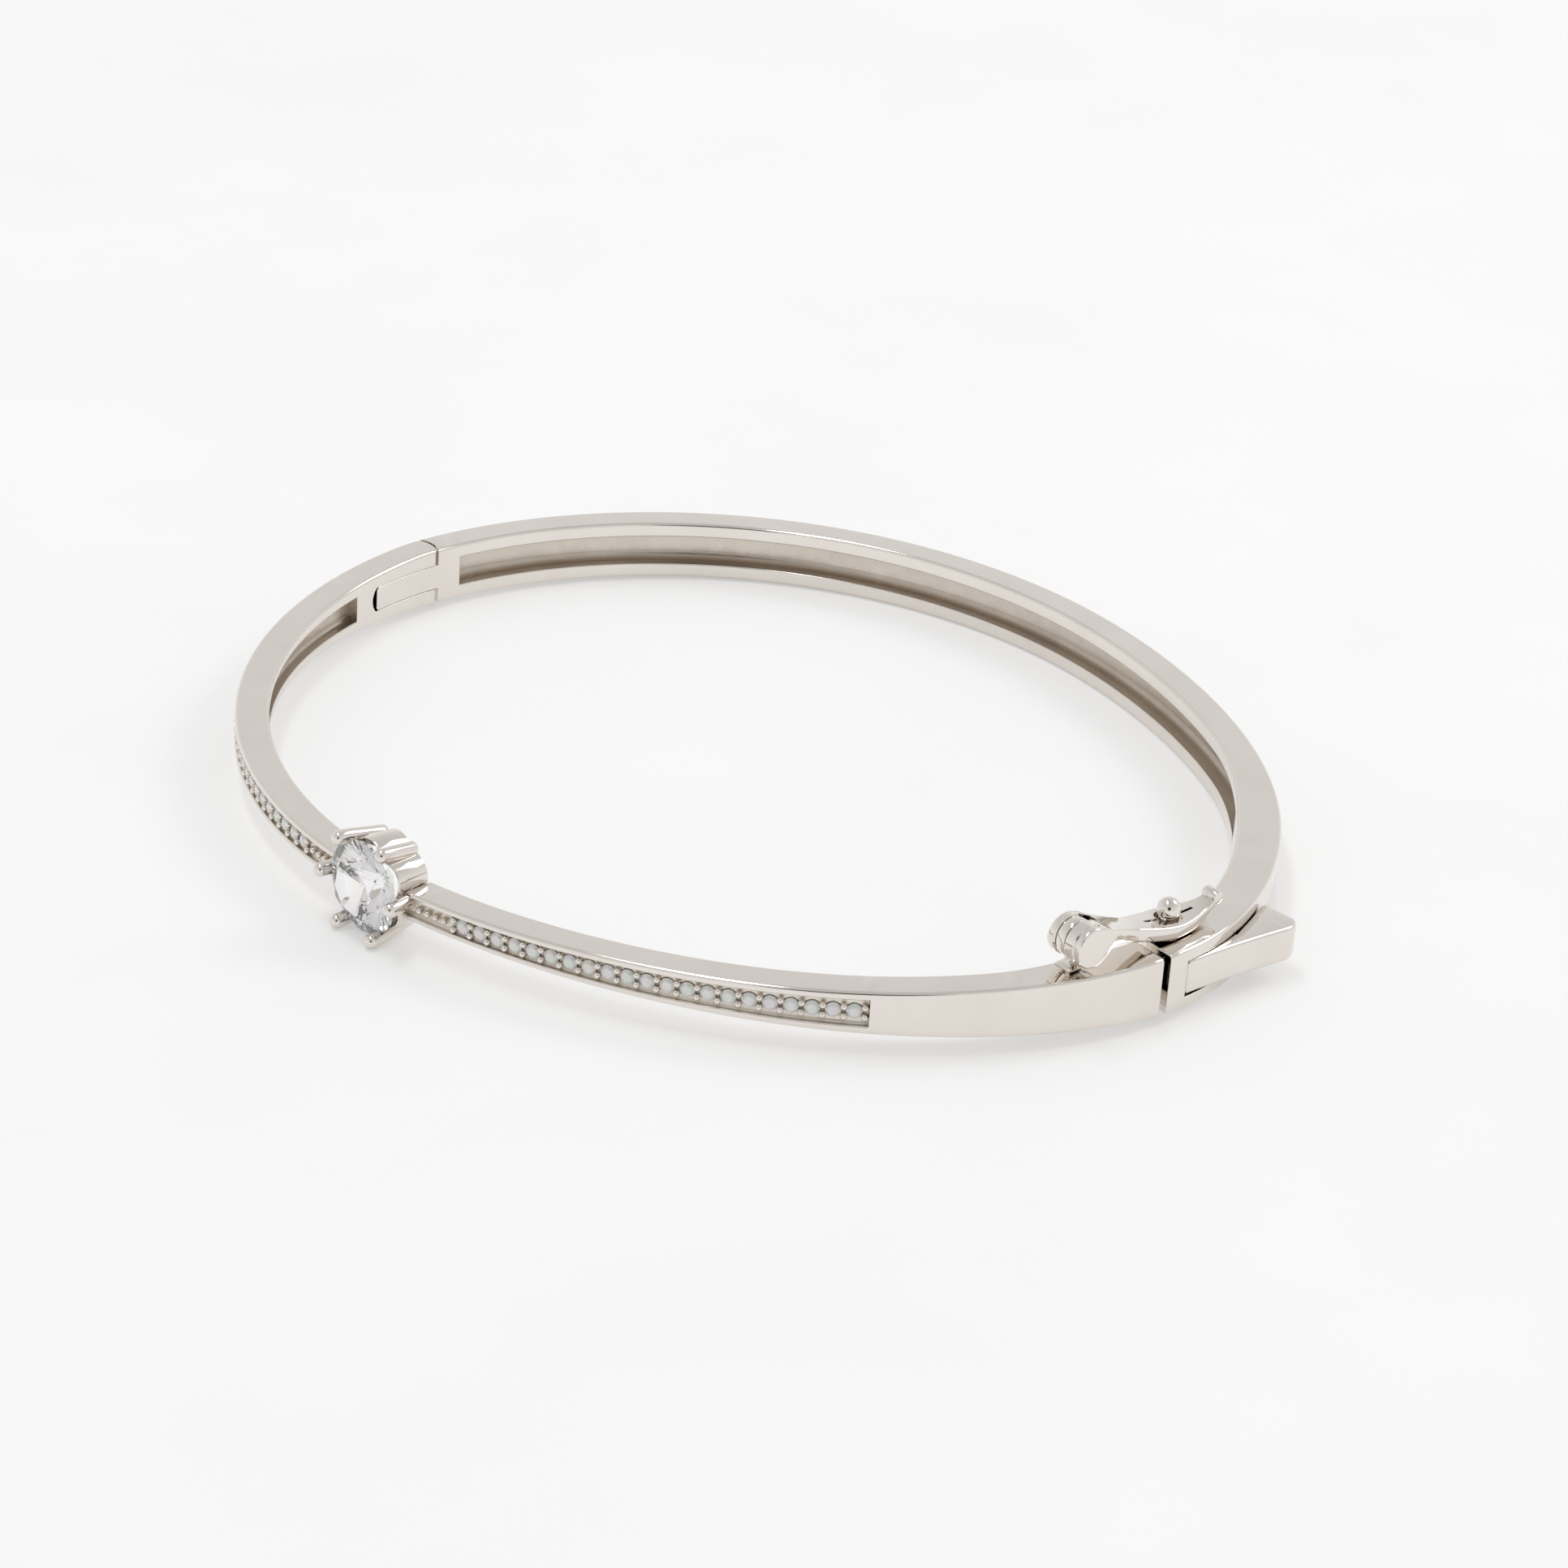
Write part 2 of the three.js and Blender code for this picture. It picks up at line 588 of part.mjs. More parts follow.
// Solids here are built about the barrel's middle: x across, y along the loop, z up.
function loopSide() {
  const along = LOOP_STATIONS.map((station) => station[0]);
  const points = (column) => LOOP_STATIONS.map((station, i) => new THREE.Vector2(along[i], station[column]));
  const side = new THREE.Shape();
  side.moveTo(0, SAFETY_END_RADIUS);
  side.absarc(0, 0, SAFETY_END_RADIUS, Math.PI / 2, Math.PI * 1.78, false);
  side.splineThru(points(2));
  side.splineThru(points(1).reverse());
  side.quadraticCurveTo(0.7, 0.98, 0, SAFETY_END_RADIUS);
  return side;
}

function loopPlan() {
  const edge = LOOP_STATIONS.map(([reach, , , halfWidth]) => new THREE.Vector2(halfWidth, reach));
  const plan = new THREE.Shape();
  plan.moveTo(-SAFETY_HALF_WIDTH, -2);
  plan.lineTo(SAFETY_HALF_WIDTH, -2);
  plan.lineTo(SAFETY_HALF_WIDTH, 0.6);
  plan.splineThru(edge);
  const otherEdge = edge.map((point) => new THREE.Vector2(-point.x, point.y)).reverse();
  plan.lineTo(otherEdge[0].x, otherEdge[0].y);
  plan.splineThru(otherEdge.slice(1));
  plan.lineTo(-SAFETY_HALF_WIDTH, 0.6);
  plan.closePath();
  return plan;
}

function safetyLoop() {
  const profile = new THREE.ExtrudeGeometry(loopSide(), { depth: 4, bevelEnabled: false, curveSegments: 14 });
  profile.translate(0, 0, -2).rotateY(Math.PI / 2).rotateX(Math.PI / 2);
  const roll = crosswiseCylinder(TIP_RADIUS, -TIP_HALF_WIDTH, TIP_HALF_WIDTH, 12);
  const tip = roll.translate([0, TIP_REACH, TIP_RISE]);
  const knuckleRoom = box(KNUCKLE_FROM - SLOT_GAP, KNUCKLE_TO + SLOT_GAP, -2, KNUCKLE_ROOM, -3, 3);
  const eye = uprightCylinder(BALL_RADIUS + EYE_CLEARANCE, 0, BALL_REACH, -3, 3, 20);
  const holeHalf = SAFETY_PIN_HALF + 0.05;
  const pinHole = crosswiseCylinder(SAFETY_PIN_RADIUS + 0.04, -holeHalf, holeHalf, 12);
  return solidOf(profile)
    .intersect(slab(loopPlan(), -4, 4, 12))
    .add(tip)
    .subtract(knuckleRoom)
    .subtract(box(-EYE_SLOT_HALF, EYE_SLOT_HALF, EYE_SLOT_FROM, EYE_SLOT_TO, -3, 3))
    .subtract(eye)
    .subtract(pinHole);
}

function safetyBracket() {
  const footZ = SAFETY_FOOT_Z - SAFETY_Z;
  const knuckle = crosswiseCylinder(KNUCKLE_RADIUS, KNUCKLE_FROM, KNUCKLE_TO, 18);
  const post = box(KNUCKLE_FROM + 0.05, KNUCKLE_TO - 0.05, -0.42, 0.42, footZ, 0);
  const foot = box(KNUCKLE_FROM - 0.12, KNUCKLE_TO + 0.12, -0.6, 0.6, footZ, footZ + 0.15);
  const bore = crosswiseCylinder(SAFETY_PIN_RADIUS + 0.03, -2, 2, 12);
  return knuckle.add(post).add(foot).subtract(bore);
}

function safetyPin() {
  return crosswiseCylinder(SAFETY_PIN_RADIUS, -SAFETY_PIN_HALF, SAFETY_PIN_HALF, 12);
}

function safetyBall() {
  const bottom = BAND_HEIGHT / 2 + RUNNING_GAP - BALL_Z;
  const ball = solidOf(new THREE.SphereGeometry(BALL_RADIUS, 14, 10).rotateX(Math.PI / 2));
  return ball.add(uprightCylinder(NECK_RADIUS, 0, 0, bottom, 0, 12));
}

// ---- assembly -----------------------------------------------------------------------------

const bangle = new THREE.Group();
bangle.add(nodeOf('left_arm', leftArm(), silver()));
bangle.add(nodeOf('right_arm', rightArm(), silver()));
bangle.add(nodeOf('stone_setting', stoneSetting(), silver()));
bangle.add(nodeOf('centre_stone', centreStone(0), crystal()));
bangle.add(nodeOf('clasp_tongue', claspTongue(), silver()));
bangle.add(nodeOf('hinge_pin', pin(HINGE_PIN_RADIUS, HINGE_X, HINGE_Y, 20), silver()));
bangle.add(nodeOf('back_band', backBand(), silver()));
bangle.add(nodeOf('thumb_lever', thumbLever(), silver()));
bangle.add(nodeOf('lever_pin', pin(LEVER_PIN_RADIUS, LEVER_PIN_X, LEVER_PIN_Y, 12), silver()));
bangle.add(nodeOf('lever_spring', leverSpring(), silver()));

for (const [sideName, side] of [['left', -1], ['right', 1]]) {
  for (let i = 0; i < PAVE_COUNT; i += 1) {
    const name = `pave_${sideName}_${String(i + 1).padStart(2, '0')}`;
    bangle.add(nodeOf(name, paveStone(i, side), crystal()));
  }
}

const safetyCatch = new THREE.Group();
safetyCatch.position.set(SAFETY_X, SAFETY_Y, SAFETY_Z);
safetyCatch.rotation.z = degToRad(SAFETY_YAW);
safetyCatch.add(nodeOf('safety_bracket', safetyBracket(), silver()));
safetyCatch.add(nodeOf('safety_pin', safetyPin(), silver()));
safetyCatch.add(nodeOf('safety_loop', safetyLoop(), silver()));
const ball = nodeOf('safety_ball', safetyBall(), silver());
ball.position.set(0, BALL_REACH, BALL_Z - SAFETY_Z);
safetyCatch.add(ball);
bangle.add(safetyCatch);

// The origin is the middle of the underside.
const bounds = new THREE.Box3().setFromObject(bangle);
const middle = bounds.getCenter(new THREE.Vector3());
bangle.position.set(-middle.x, -middle.y, -bounds.min.z);

export default bangle;
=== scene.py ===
import math

import bmesh
import bpy
from mathutils import Matrix, Vector

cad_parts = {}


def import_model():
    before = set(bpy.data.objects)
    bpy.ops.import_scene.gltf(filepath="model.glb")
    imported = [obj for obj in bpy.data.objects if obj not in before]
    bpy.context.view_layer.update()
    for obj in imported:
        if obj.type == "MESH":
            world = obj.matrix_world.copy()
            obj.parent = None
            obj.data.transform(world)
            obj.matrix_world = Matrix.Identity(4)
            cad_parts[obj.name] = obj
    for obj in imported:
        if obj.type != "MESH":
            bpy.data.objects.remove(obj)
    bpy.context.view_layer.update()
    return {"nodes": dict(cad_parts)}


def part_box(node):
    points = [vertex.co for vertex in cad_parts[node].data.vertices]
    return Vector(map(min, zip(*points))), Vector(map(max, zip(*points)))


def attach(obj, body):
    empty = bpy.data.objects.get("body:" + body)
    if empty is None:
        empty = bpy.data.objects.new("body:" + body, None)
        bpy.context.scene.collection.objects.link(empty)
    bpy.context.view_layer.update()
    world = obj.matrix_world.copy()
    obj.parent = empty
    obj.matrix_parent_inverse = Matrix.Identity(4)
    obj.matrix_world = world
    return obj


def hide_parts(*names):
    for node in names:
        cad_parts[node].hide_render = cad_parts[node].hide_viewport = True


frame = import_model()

# Shapes are built in millimetres about the middle of the oval, as the CAD is, and are turned into
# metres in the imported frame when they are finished. The hinge pin says where that frame is.

MM = 0.001

HALF_LENGTH = 31.0
HALF_WIDTH = 26.8
WIDTH_LEAN = 0.25
OVAL_POWER = 1.94
EGG = 0.043
CLASP_SWELL = 0.55
CLASP_SWELL_POWER = 30

BAND_HEIGHT = 3.5
HEIGHT_AT_SETTING = 1.5
BAND_THICKNESS = 1.9
CLASP_EXTRA_THICKNESS = 0.5
EDGE_RADIUS = 0.2
END_RADIUS = 0.1
LIP = 0.05
FILLET = 0.07
BAND_STEP_DEGREES = 1.0
WALL_DEGREES = 0.05
THROUGH = 3
PIN_PLAY = 0.03
PIN_FIT = 0.02
PIN_END_PLAY = 0.05
WELD_DISTANCE = 1e-5

CLASP_ANGLE = -3.05
CLASP_GAP_DEGREES = 0.8
CLASP_MM_PER_DEGREE = 0.54
HOLLOW_SHARE = 0.52
HOLLOW_DEPTH = 1.1
HOLLOW_FILLET = 0.45
PAVED_HOLLOW_DEPTH = 0.7

# Where the bands run and where they are hollow, in degrees round the oval from the clasp.
RIGHT_ARM_START = -86
RIGHT_HOLLOW = (-82, -18, PAVED_HOLLOW_DEPTH)
LEFT_ARM_START, LEFT_ARM_END = -186, -94
LEFT_HOLLOW = (-167.6, -98, PAVED_HOLLOW_DEPTH)
BACK_BAND_END = 184
BACK_HOLLOW = (33, 174.5, HOLLOW_DEPTH)

HINGE_X = -28.72
HINGE_Y = -0.5
HINGE_PIN_RADIUS = 0.42
HINGE_BARREL_RADIUS = 1.62
HINGE_SOCKET_RADIUS = 1.8
HINGE_TONGUE_HEIGHT = 1.5
HINGE_TAIL_START = -184.5
HINGE_TAIL_END = -171.6
HINGE_TAIL_THICKNESS = 1.15
HINGE_TAIL_CORNER = 0.22
HINGE_TAIL_EDGE = 0.03
HINGE_SLOT_START = -188
HINGE_SWEEP_RADIUS = 1.1
HINGE_END_GAP = 0.38
HINGE_END_SLACK_DEGREES = 0.06
HINGE_MM_PER_DEGREE = 0.5
TONGUE_SIDE_GAP = 0.025
PIN_TOP = 1.4
SLOT_GAP = 0.06

SETTING_Z = 0.25
STONE_RADIUS = 2.55
STONE_CROWN = 0.76
STONE_PAVILION = 2.05
STONE_GIRDLE = 0.05
STONE_GIRDLE_Y = -27.5
STONE_TURN = 11
TABLE_SHARE = 0.56
MAIN_FACETS = 8
PRONG_COUNT = 6
PRONG_RADIUS = 0.4
SETTING_BACK_Y = -25.15
PRONG_TIP_Y = -28.45
SHORT_PRONG = 1
SHORT_PRONG_BY = 0.6
PRONG_SPREAD_BACK = 2.3
PRONG_SPREAD_TIP = 2.95
PRONG_LEAN_IN = 0.08
SETTING_BACK_RADIUS = 2.5
SETTING_RIM_RADIUS = 2.62
SETTING_WALL_LENGTH = 2.2
SETTING_WALL_THICKNESS = 0.35

PAVE_COUNT = 21
PAVE_PITCH = 1.07
PAVE_FIRST = 6.26
PAVE_CHANNEL_START = 2.0
PAVE_CHANNEL_END = 28.4
PAVE_CHANNEL_DEPTH = 0.3
PAVE_CHANNEL_SHARE = 0.62
PAVE_STONE_RADIUS = 0.42
PAVE_STONE_CROWN = 0.16
PAVE_STONE_PAVILION = 0.38
PAVE_STONE_GIRDLE = 0.02
PAVE_STONE_TURN = 47
PAVE_GIRDLE_DEPTH = 0.24
PAVE_SEAT_DEPTH = 0.8
PAVE_SEAT_SINK = 0.1
BEAD_RADIUS = 0.19
BEAD_SPREAD = 0.27
BEAD_ROOT = -0.28
STARTER_BEADS = (3.45, 4.0, 4.55, 5.1)

CLASP_FACE_X = HALF_LENGTH * (1 + EGG) + CLASP_SWELL
BOX_INNER_X = CLASP_FACE_X - 1.88
BOX_OUTER_X = CLASP_FACE_X - 0.88
BOX_END_Y = 3.6
BOX_HALF_HEIGHT = 1.08
TONGUE_INNER_X = CLASP_FACE_X - 1.78
TONGUE_OUTER_X = CLASP_FACE_X - 1.23
TONGUE_ROOT_Y = -3.6
TONGUE_TIP_Y = 3.2
TONGUE_HALF_HEIGHT = 0.95
TONGUE_NOSE = 0.12
TONGUE_PLAY = 0.04
WINDOW_FROM_Y = 1.45
WINDOW_HALF_HEIGHT = 0.5

LEVER_PIN_X = CLASP_FACE_X - 0.45
LEVER_PIN_Y = 0.22
LEVER_PIN_RADIUS = 0.22
LEVER_HALF_HEIGHT = 1.0
LEVER_ROOT = 0.45
LEVER_ROOT_GAP = 0.03
LEVER_POCKET_RADIUS = 0.68
LEVER_SLOT_END_Y = 3.95
LEVER_END_Y = 7.85
LEVER_END_X = CLASP_FACE_X + 0.87
LEVER_SHADOW_GAP = 0.05
LEVER_END_GAP = 0.36
LEVER_GAP_OPENS = 13.1
LEVER_EDGE = 0.24
LEVER_INNER_EDGE = 0.06
LEVER_CORNER = 1.05
LEVER_CHIN = 1.0
LEVER_HEEL = 0.17
LEVER_HEEL_RELIEF = 0.12
LEVER_BEND = (0, 0.12, 0.45, LEVER_END_X - CLASP_FACE_X)
LEVER_FOLLOWS_BAND = (8.6, 9.3, 10, 10.7, 11.4, 12, 12.6, 13.1, 13.6, 14.2)
HOOK_REACH = 2.5
HOOK_TIP_X = CLASP_FACE_X - 1.58
HOOK_HALF_HEIGHT = 0.42

SAFETY_X = 30.25
SAFETY_Y = -5.9
SAFETY_Z = 3.05
SAFETY_YAW = -5
SAFETY_END_RADIUS = 1.12
SAFETY_HALF_WIDTH = 1.2
KNUCKLE_RADIUS = 1.06
KNUCKLE_FROM = -0.66
KNUCKLE_TO = -0.02
KNUCKLE_ROOM = 1.25
KNUCKLE_PLAY = 0.03
BARREL_EDGE = 0.1
SAFETY_PIN_RADIUS = 0.3
SAFETY_PIN_HALF = 0.93
SAFETY_FOOT_Z = 1.5
BALL_RADIUS = 0.64
BALL_REACH = 6.19
BALL_Z = 3.0
NECK_RADIUS = 0.32
EYE_CLEARANCE = 0.1
EYE_SLOT_HALF = 0.1
EYE_SLOT_FROM = 4.5
EYE_SLOT_TO = 7.9
TIP_RADIUS = 0.36
TIP_HALF_WIDTH = 0.5
TIP_REACH = 9.28
TIP_RISE = -0.12

# The safety loop, from its pivot: reach, top, underside, half width.
LOOP_STATIONS = (
    (0, SAFETY_END_RADIUS, -SAFETY_END_RADIUS, SAFETY_HALF_WIDTH),
    (0.7, 0.95, -0.87, SAFETY_HALF_WIDTH),
    (1.3, 0.68, -0.42, 1.14),
    (2.2, 0.34, -0.5, 0.95),
    (3.3, -0.02, -0.82, 0.82),
    (4.4, -0.26, -1.06, 0.95),
    (5.4, -0.44, -1.2, 1.1),
    (6.2, -0.5, -1.22, 1.14),
    (7.3, -0.5, -1.2, 0.95),
    (8.4, -0.38, -1.04, 0.62),
    (9.3, -0.05, -0.5, 0.42),
)
# Lines turned into the loop's barrel: place along it, half width, depth.
BARREL_GROOVES = (
    (0.75, 0.09, 0.08),
    (KNUCKLE_FROM - KNUCKLE_PLAY, 0.1, 0.1),
    (KNUCKLE_TO + KNUCKLE_PLAY, 0.1, 0.1),
)
# The bracket's post flares at its foot: rise from the band, extra half width.
POST_FLARE = ((0, 0.34), (0.06, 0.3), (0.12, 0.2), (0.2, 0.11), (0.32, 0.04), (0.46, 0))
POST_HALF_DEPTH = 0.42

# The studio: angles in degrees, the camera's distance in millimetres and the paper in metres.
PAPER_TONES = ((0.63, 0.63, 0.63), (0.615, 0.615, 0.615))
PAPER_GLOW = 0.58
PAPER_HALF_SIZE = 1.5
PAPER_BELOW = 0.00002
TENT_WALL = (0.98, 0.98, 0.98)
TENT_ROOF = (0.62, 0.62, 0.62)
TENT_STRENGTH = 0.95
OPENING_DIRECTION = (0.63, -0.63, 0.45)
OPENING_OUTSIDE, OPENING_INSIDE = math.cos(math.radians(19)), math.cos(math.radians(14))
OPENING_TONE = (0.05, 0.045, 0.04)
CAMERA_AZIMUTH = 44.764
CAMERA_ELEVATION = 26.343
CAMERA_ROLL = 3.644
CAMERA_DISTANCE = 257.12
CAMERA_LENS = 106.22
CAMERA_SHIFT = (0.02367, -0.02311)

pin_low, pin_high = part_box("hinge_pin")
FRAME_SHIFT = Vector((
    (pin_low.x + pin_high.x) / 2 - HINGE_X * MM,
    (pin_low.y + pin_high.y) / 2 - HINGE_Y * MM,
    pin_low.z + BAND_HEIGHT / 2 * MM,
))
TO_FRAME = Matrix.Translation(FRAME_SHIFT) @ Matrix.Scale(MM, 4)
SETTING_FRAME = (
    Matrix.Translation((0, SETTING_BACK_Y, SETTING_Z)) @ Matrix.Rotation(math.pi / 2, 4, "X")
)
SAFETY_FRAME = (
    Matrix.Translation((SAFETY_X, SAFETY_Y, SAFETY_Z))
    @ Matrix.Rotation(math.radians(SAFETY_YAW), 4, "Z")
)
CROSSWISE = Matrix.Rotation(math.pi / 2, 4, "Y")

# Material indices; the hollow and flange silvers are darkened with painted shade.
POLISHED, CHANNEL, HOLLOW_PAINTED_SHADE, FLANGE_PAINTED_SHADE = range(4)


# ---- small maths --------------------------------------------------------------------------


def lerp(a, b, t):
    return a + (b - a) * t


def smoothstep(x, low, high):
    t = min(max((x - low) / (high - low), 0), 1)
    return t * t * (3 - 2 * t)


def arc(x, y, radius, from_degrees, to_degrees, steps):
    angles = [math.radians(lerp(from_degrees, to_degrees, i / steps)) for i in range(steps + 1)]
    return [(x + radius * math.cos(a), y + radius * math.sin(a)) for a in angles]


def through(points, at):
    """Catmull-Rom interpolation of rows of numbers by their first column."""
    last = len(points) - 1
    i = max(k for k in range(last) if points[k][0] <= at or k == 0)
    before, a, b, after = points[max(i - 1, 0)], points[i], points[i + 1], points[min(i + 2, last)]
    span = b[0] - a[0]
    t = min(max((at - a[0]) / span, 0), 1)
    row = []
    for p, q, r, s in zip(before[1:], a[1:], b[1:], after[1:]):
        slope_a = (r - p) / (b[0] - before[0]) * span
        slope_b = (s - q) / (after[0] - a[0]) * span
        row.append(
            q * (2 * t**3 - 3 * t**2 + 1)
            + slope_a * (t**3 - 2 * t**2 + t)
            + r * (3 * t**2 - 2 * t**3)
            + slope_b * (t**3 - t**2)
        )
    return row


def straight_through(points, at):
    """Straight interpolation between (place, value) points, level beyond the last."""
    for (start, from_value), (end, to_value) in zip(points, points[1:]):
        if at <= end:
            return lerp(from_value, to_value, (at - start) / (end - start))
    return points[-1][1]


def drawn_in(distance, radius):
    """How far a face has drawn in, at a distance from an end that is rounded over."""
    left = max(radius - distance, 0)
    return radius - math.sqrt(max(radius**2 - left**2, 0))


# ---- the oval -----------------------------------------------------------------------------


def outline_point(degrees):
    a = math.radians(degrees)
    c, s = math.cos(a), math.sin(a)
    half_width = HALF_WIDTH - WIDTH_LEAN * s
    total = abs(c / HALF_LENGTH) ** OVAL_POWER + abs(s / half_width) ** OVAL_POWER
    radius = total ** (-1 / OVAL_POWER) * (1 + EGG * math.cos(2 * a) * c)
    radius += CLASP_SWELL * max(0, c) ** CLASP_SWELL_POWER
    return Vector((radius * c, radius * s, 0))


def band_point(degrees, inset, z):
    """A point at a height, inset at right angles from the outline."""
    along = (outline_point(degrees + 0.04) - outline_point(degrees - 0.04)).normalized()
    point = outline_point(degrees)
    return Vector((point.x - along.y * inset, point.y + along.x * inset, z))


def outward(degrees):
    return (band_point(degrees, 0, 0) - band_point(degrees, 1, 0)).normalized()


def angle_at_distance(distance):
    """Degrees round the oval at a distance along the outline from the setting."""
    step = 0.1 if distance > 0 else -0.1
    degrees, left = -90, abs(distance)
    while True:
        length = (outline_point(degrees + step) - outline_point(degrees)).length
        if length > left:
            return degrees + step * left / length
        left -= length
        degrees += step


def band_height(degrees):
    """The band tapers from the clasp and the hinge towards the setting."""
    away = min(abs(degrees + 90) / 90, 1)
    return HEIGHT_AT_SETTING + (BAND_HEIGHT - HEIGHT_AT_SETTING) * (away + away**3) / 2


def band_thickness(degrees):
    """The band is thicker round the clasp's box."""
    boxed = smoothstep(degrees, -20, -8) * (1 - smoothstep(degrees, 27, 48))
    return BAND_THICKNESS + CLASP_EXTRA_THICKNESS * boxed


# ---- mesh building ------------------------------------------------------------------------


def skin(bm, rings, tag=lambda i, j: POLISHED):
    """Joins closed rings of equal length with faces, and returns their rows of vertices."""
    rows = [[bm.verts.new(point) for point in ring] for ring in rings]
    for i, (a, b) in enumerate(zip(rows, rows[1:])):
        for j in range(len(a)):
            k = (j + 1) % len(a)
            bm.faces.new((a[j], a[k], b[k], b[j])).material_index = tag(i, j)
    return rows


def loft(bm, rings, tag=lambda i, j: POLISHED):
    """Skins closed rings and caps the two ends."""
    rows = skin(bm, rings, tag)
    bm.faces.new(rows[0][::-1])
    bm.faces.new(rows[-1])
    return bm


def prism(bm, points, z0, z1, material=POLISHED):
    loft(bm, [[(x, y, z) for x, y in points] for z in (z0, z1)], lambda i, j: material)
    return bm


def box(bm, x0, x1, y0, y1, z0, z1, material=POLISHED):
    return prism(bm, [(x0, y0), (x1, y0), (x1, y1), (x0, y1)], z0, z1, material)


def cylinder(bm, radius, x, y, z0, z1, sides=64, material=POLISHED):
    return prism(bm, arc(x, y, radius, 0, 360, sides)[:-1], z0, z1, material)


def turned(bm, profile, sides, place=Matrix.Identity(4), material=POLISHED):
    """Turns a profile of (radius, height) about the local Z. It starts and ends on the axis."""
    rings = []
    for radius, height in profile[1:-1]:
        circle = arc(0, 0, radius, 0, 360, sides)[:-1]
        rings.append([place @ Vector((x, y, height)) for x, y in circle])
    rows = skin(bm, rings, lambda i, j: material)
    for row, (_, height) in ((rows[0], profile[0]), (rows[-1], profile[-1])):
        tip = bm.verts.new(place @ Vector((0, 0, height)))
        for j in range(sides):
            bm.faces.new((row[j], row[(j + 1) % sides], tip)).material_index = material
    return bm


def rounded_rectangle(x0, x1, z0, z1, radius, steps=4, inner=None):
    """The corners on the x0 side may have a radius of their own."""
    widest = min(x1 - x0, z1 - z0) / 2 * 0.98
    r, s = min(radius, widest), min(inner or radius, widest)
    return (
        arc(x1 - r, z0 + r, r, -90, 0, steps)
        + arc(x1 - r, z1 - r, r, 0, 90, steps)
        + arc(x0 + s, z1 - s, s, 90, 180, steps)
        + arc(x0 + s, z0 + s, s, 180, 270, steps)
    )


def wire(bm, path, radii, sides):
    """A round wire through points, with a radius at each."""
    rings = []
    for i, (centre, radius) in enumerate(zip(path, radii)):
        ahead = (path[min(i + 1, len(path) - 1)] - path[max(i - 1, 0)]).normalized()
        side = ahead.orthogonal() if i == 0 else side - ahead * side.dot(ahead)
        side.normalize()
        other = ahead.cross(side)
        circle = arc(0, 0, radius, 0, 360, sides)[:-1]
        rings.append([centre + side * x + other * y for x, y in circle])
    return loft(bm, rings)


def weld(bm):
    """Joins the vertices that meet and turns every face outwards."""
    bmesh.ops.remove_doubles(bm, verts=bm.verts, dist=WELD_DISTANCE)
    bmesh.ops.recalc_face_normals(bm, faces=bm.faces)


def soften(bm, width):
    """Bevels the sharp edges."""
    weld(bm)
    corner = math.radians(35)
    sharp = [e for e in bm.edges if len(e.link_faces) == 2 and e.calc_face_angle(0) > corner]
    bmesh.ops.bevel(
        bm,
        geom=sharp,
        offset=width,
        segments=2,
        profile=0.5,
        affect="EDGES",
        clamp_overlap=True,
    )
    return bm


def temporary(bm, name="tool"):
    """An object of its own from a mesh, to be cut, to cut with or to be finished."""
    weld(bm)
    mesh = bpy.data.meshes.new(name)
    bm.to_mesh(mesh)
    bm.free()
    for material in SILVERS:
        mesh.materials.append(material)
    made = bpy.data.objects.new(name, mesh)
    bpy.context.scene.collection.objects.link(made)
    return made


def combine(target, tools, operation="DIFFERENCE"):
    """Cuts or joins tools, one after another, and applies the result."""
    for tool in tools:
        modifier = target.modifiers.new("combine", "BOOLEAN")
        modifier.object = tool
        modifier.operation = operation
        modifier.solver = "EXACT"
    bpy.context.view_layer.update()
    evaluated = target.evaluated_get(bpy.context.evaluated_depsgraph_get())
    made = bpy.data.meshes.new_from_object(evaluated)
    target.modifiers.clear()
    target.data = made
    for tool in tools:
        bpy.data.objects.remove(tool)
    return target


def finished(
    made,
    name,
    body,
    nodes=(),
    smooth=32,
    place=Matrix.Identity(4),
    flat=False,
):
    """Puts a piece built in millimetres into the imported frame, on its body."""
    made.name = name
    made.data.name = name
    made.data.transform(TO_FRAME @ place)
    if not flat:
        made.data.shade_smooth()
        made.data.set_sharp_from_angle(angle=math.radians(smooth))
        weighted = made.modifiers.new("weighted normals", "WEIGHTED_NORMAL")
        weighted.keep_sharp = True
    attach(made, body)
    if nodes:
        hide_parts(*nodes)
    return made


# ---- materials ----------------------------------------------------------------------------


def new_material(name):
    material = bpy.data.materials.new(name)
    material.use_nodes = True
    tree = material.node_tree
    return material, tree, tree.nodes["Principled BSDF"]


def node(tree, kind, **settings):
    made = tree.nodes.new(kind)
    for key, value in settings.items():
        if key in made.inputs.keys():
            made.inputs[key].default_value = value
        else:
            setattr(made, key, value)
    return made


def noise(tree, scale, detail=3.0, roughness=0.55):
    place = node(tree, "ShaderNodeTexCoord")
    made = node(tree, "ShaderNodeTexNoise", Scale=scale, Detail=detail, Roughness=roughness)
    tree.links.new(place.outputs["Object"], made.inputs["Vector"])
    return made.outputs["Fac"]


def mapped(tree, value, low, high, from_low=0.3, from_high=0.7):
    made = tree.nodes.new("ShaderNodeMapRange")
    made.inputs["From Min"].default_value = from_low
    made.inputs["From Max"].default_value = from_high
    made.inputs["To Min"].default_value = low
    made.inputs["To Max"].default_value = high
    tree.links.new(value, made.inputs["Value"])
    return made.outputs["Result"]


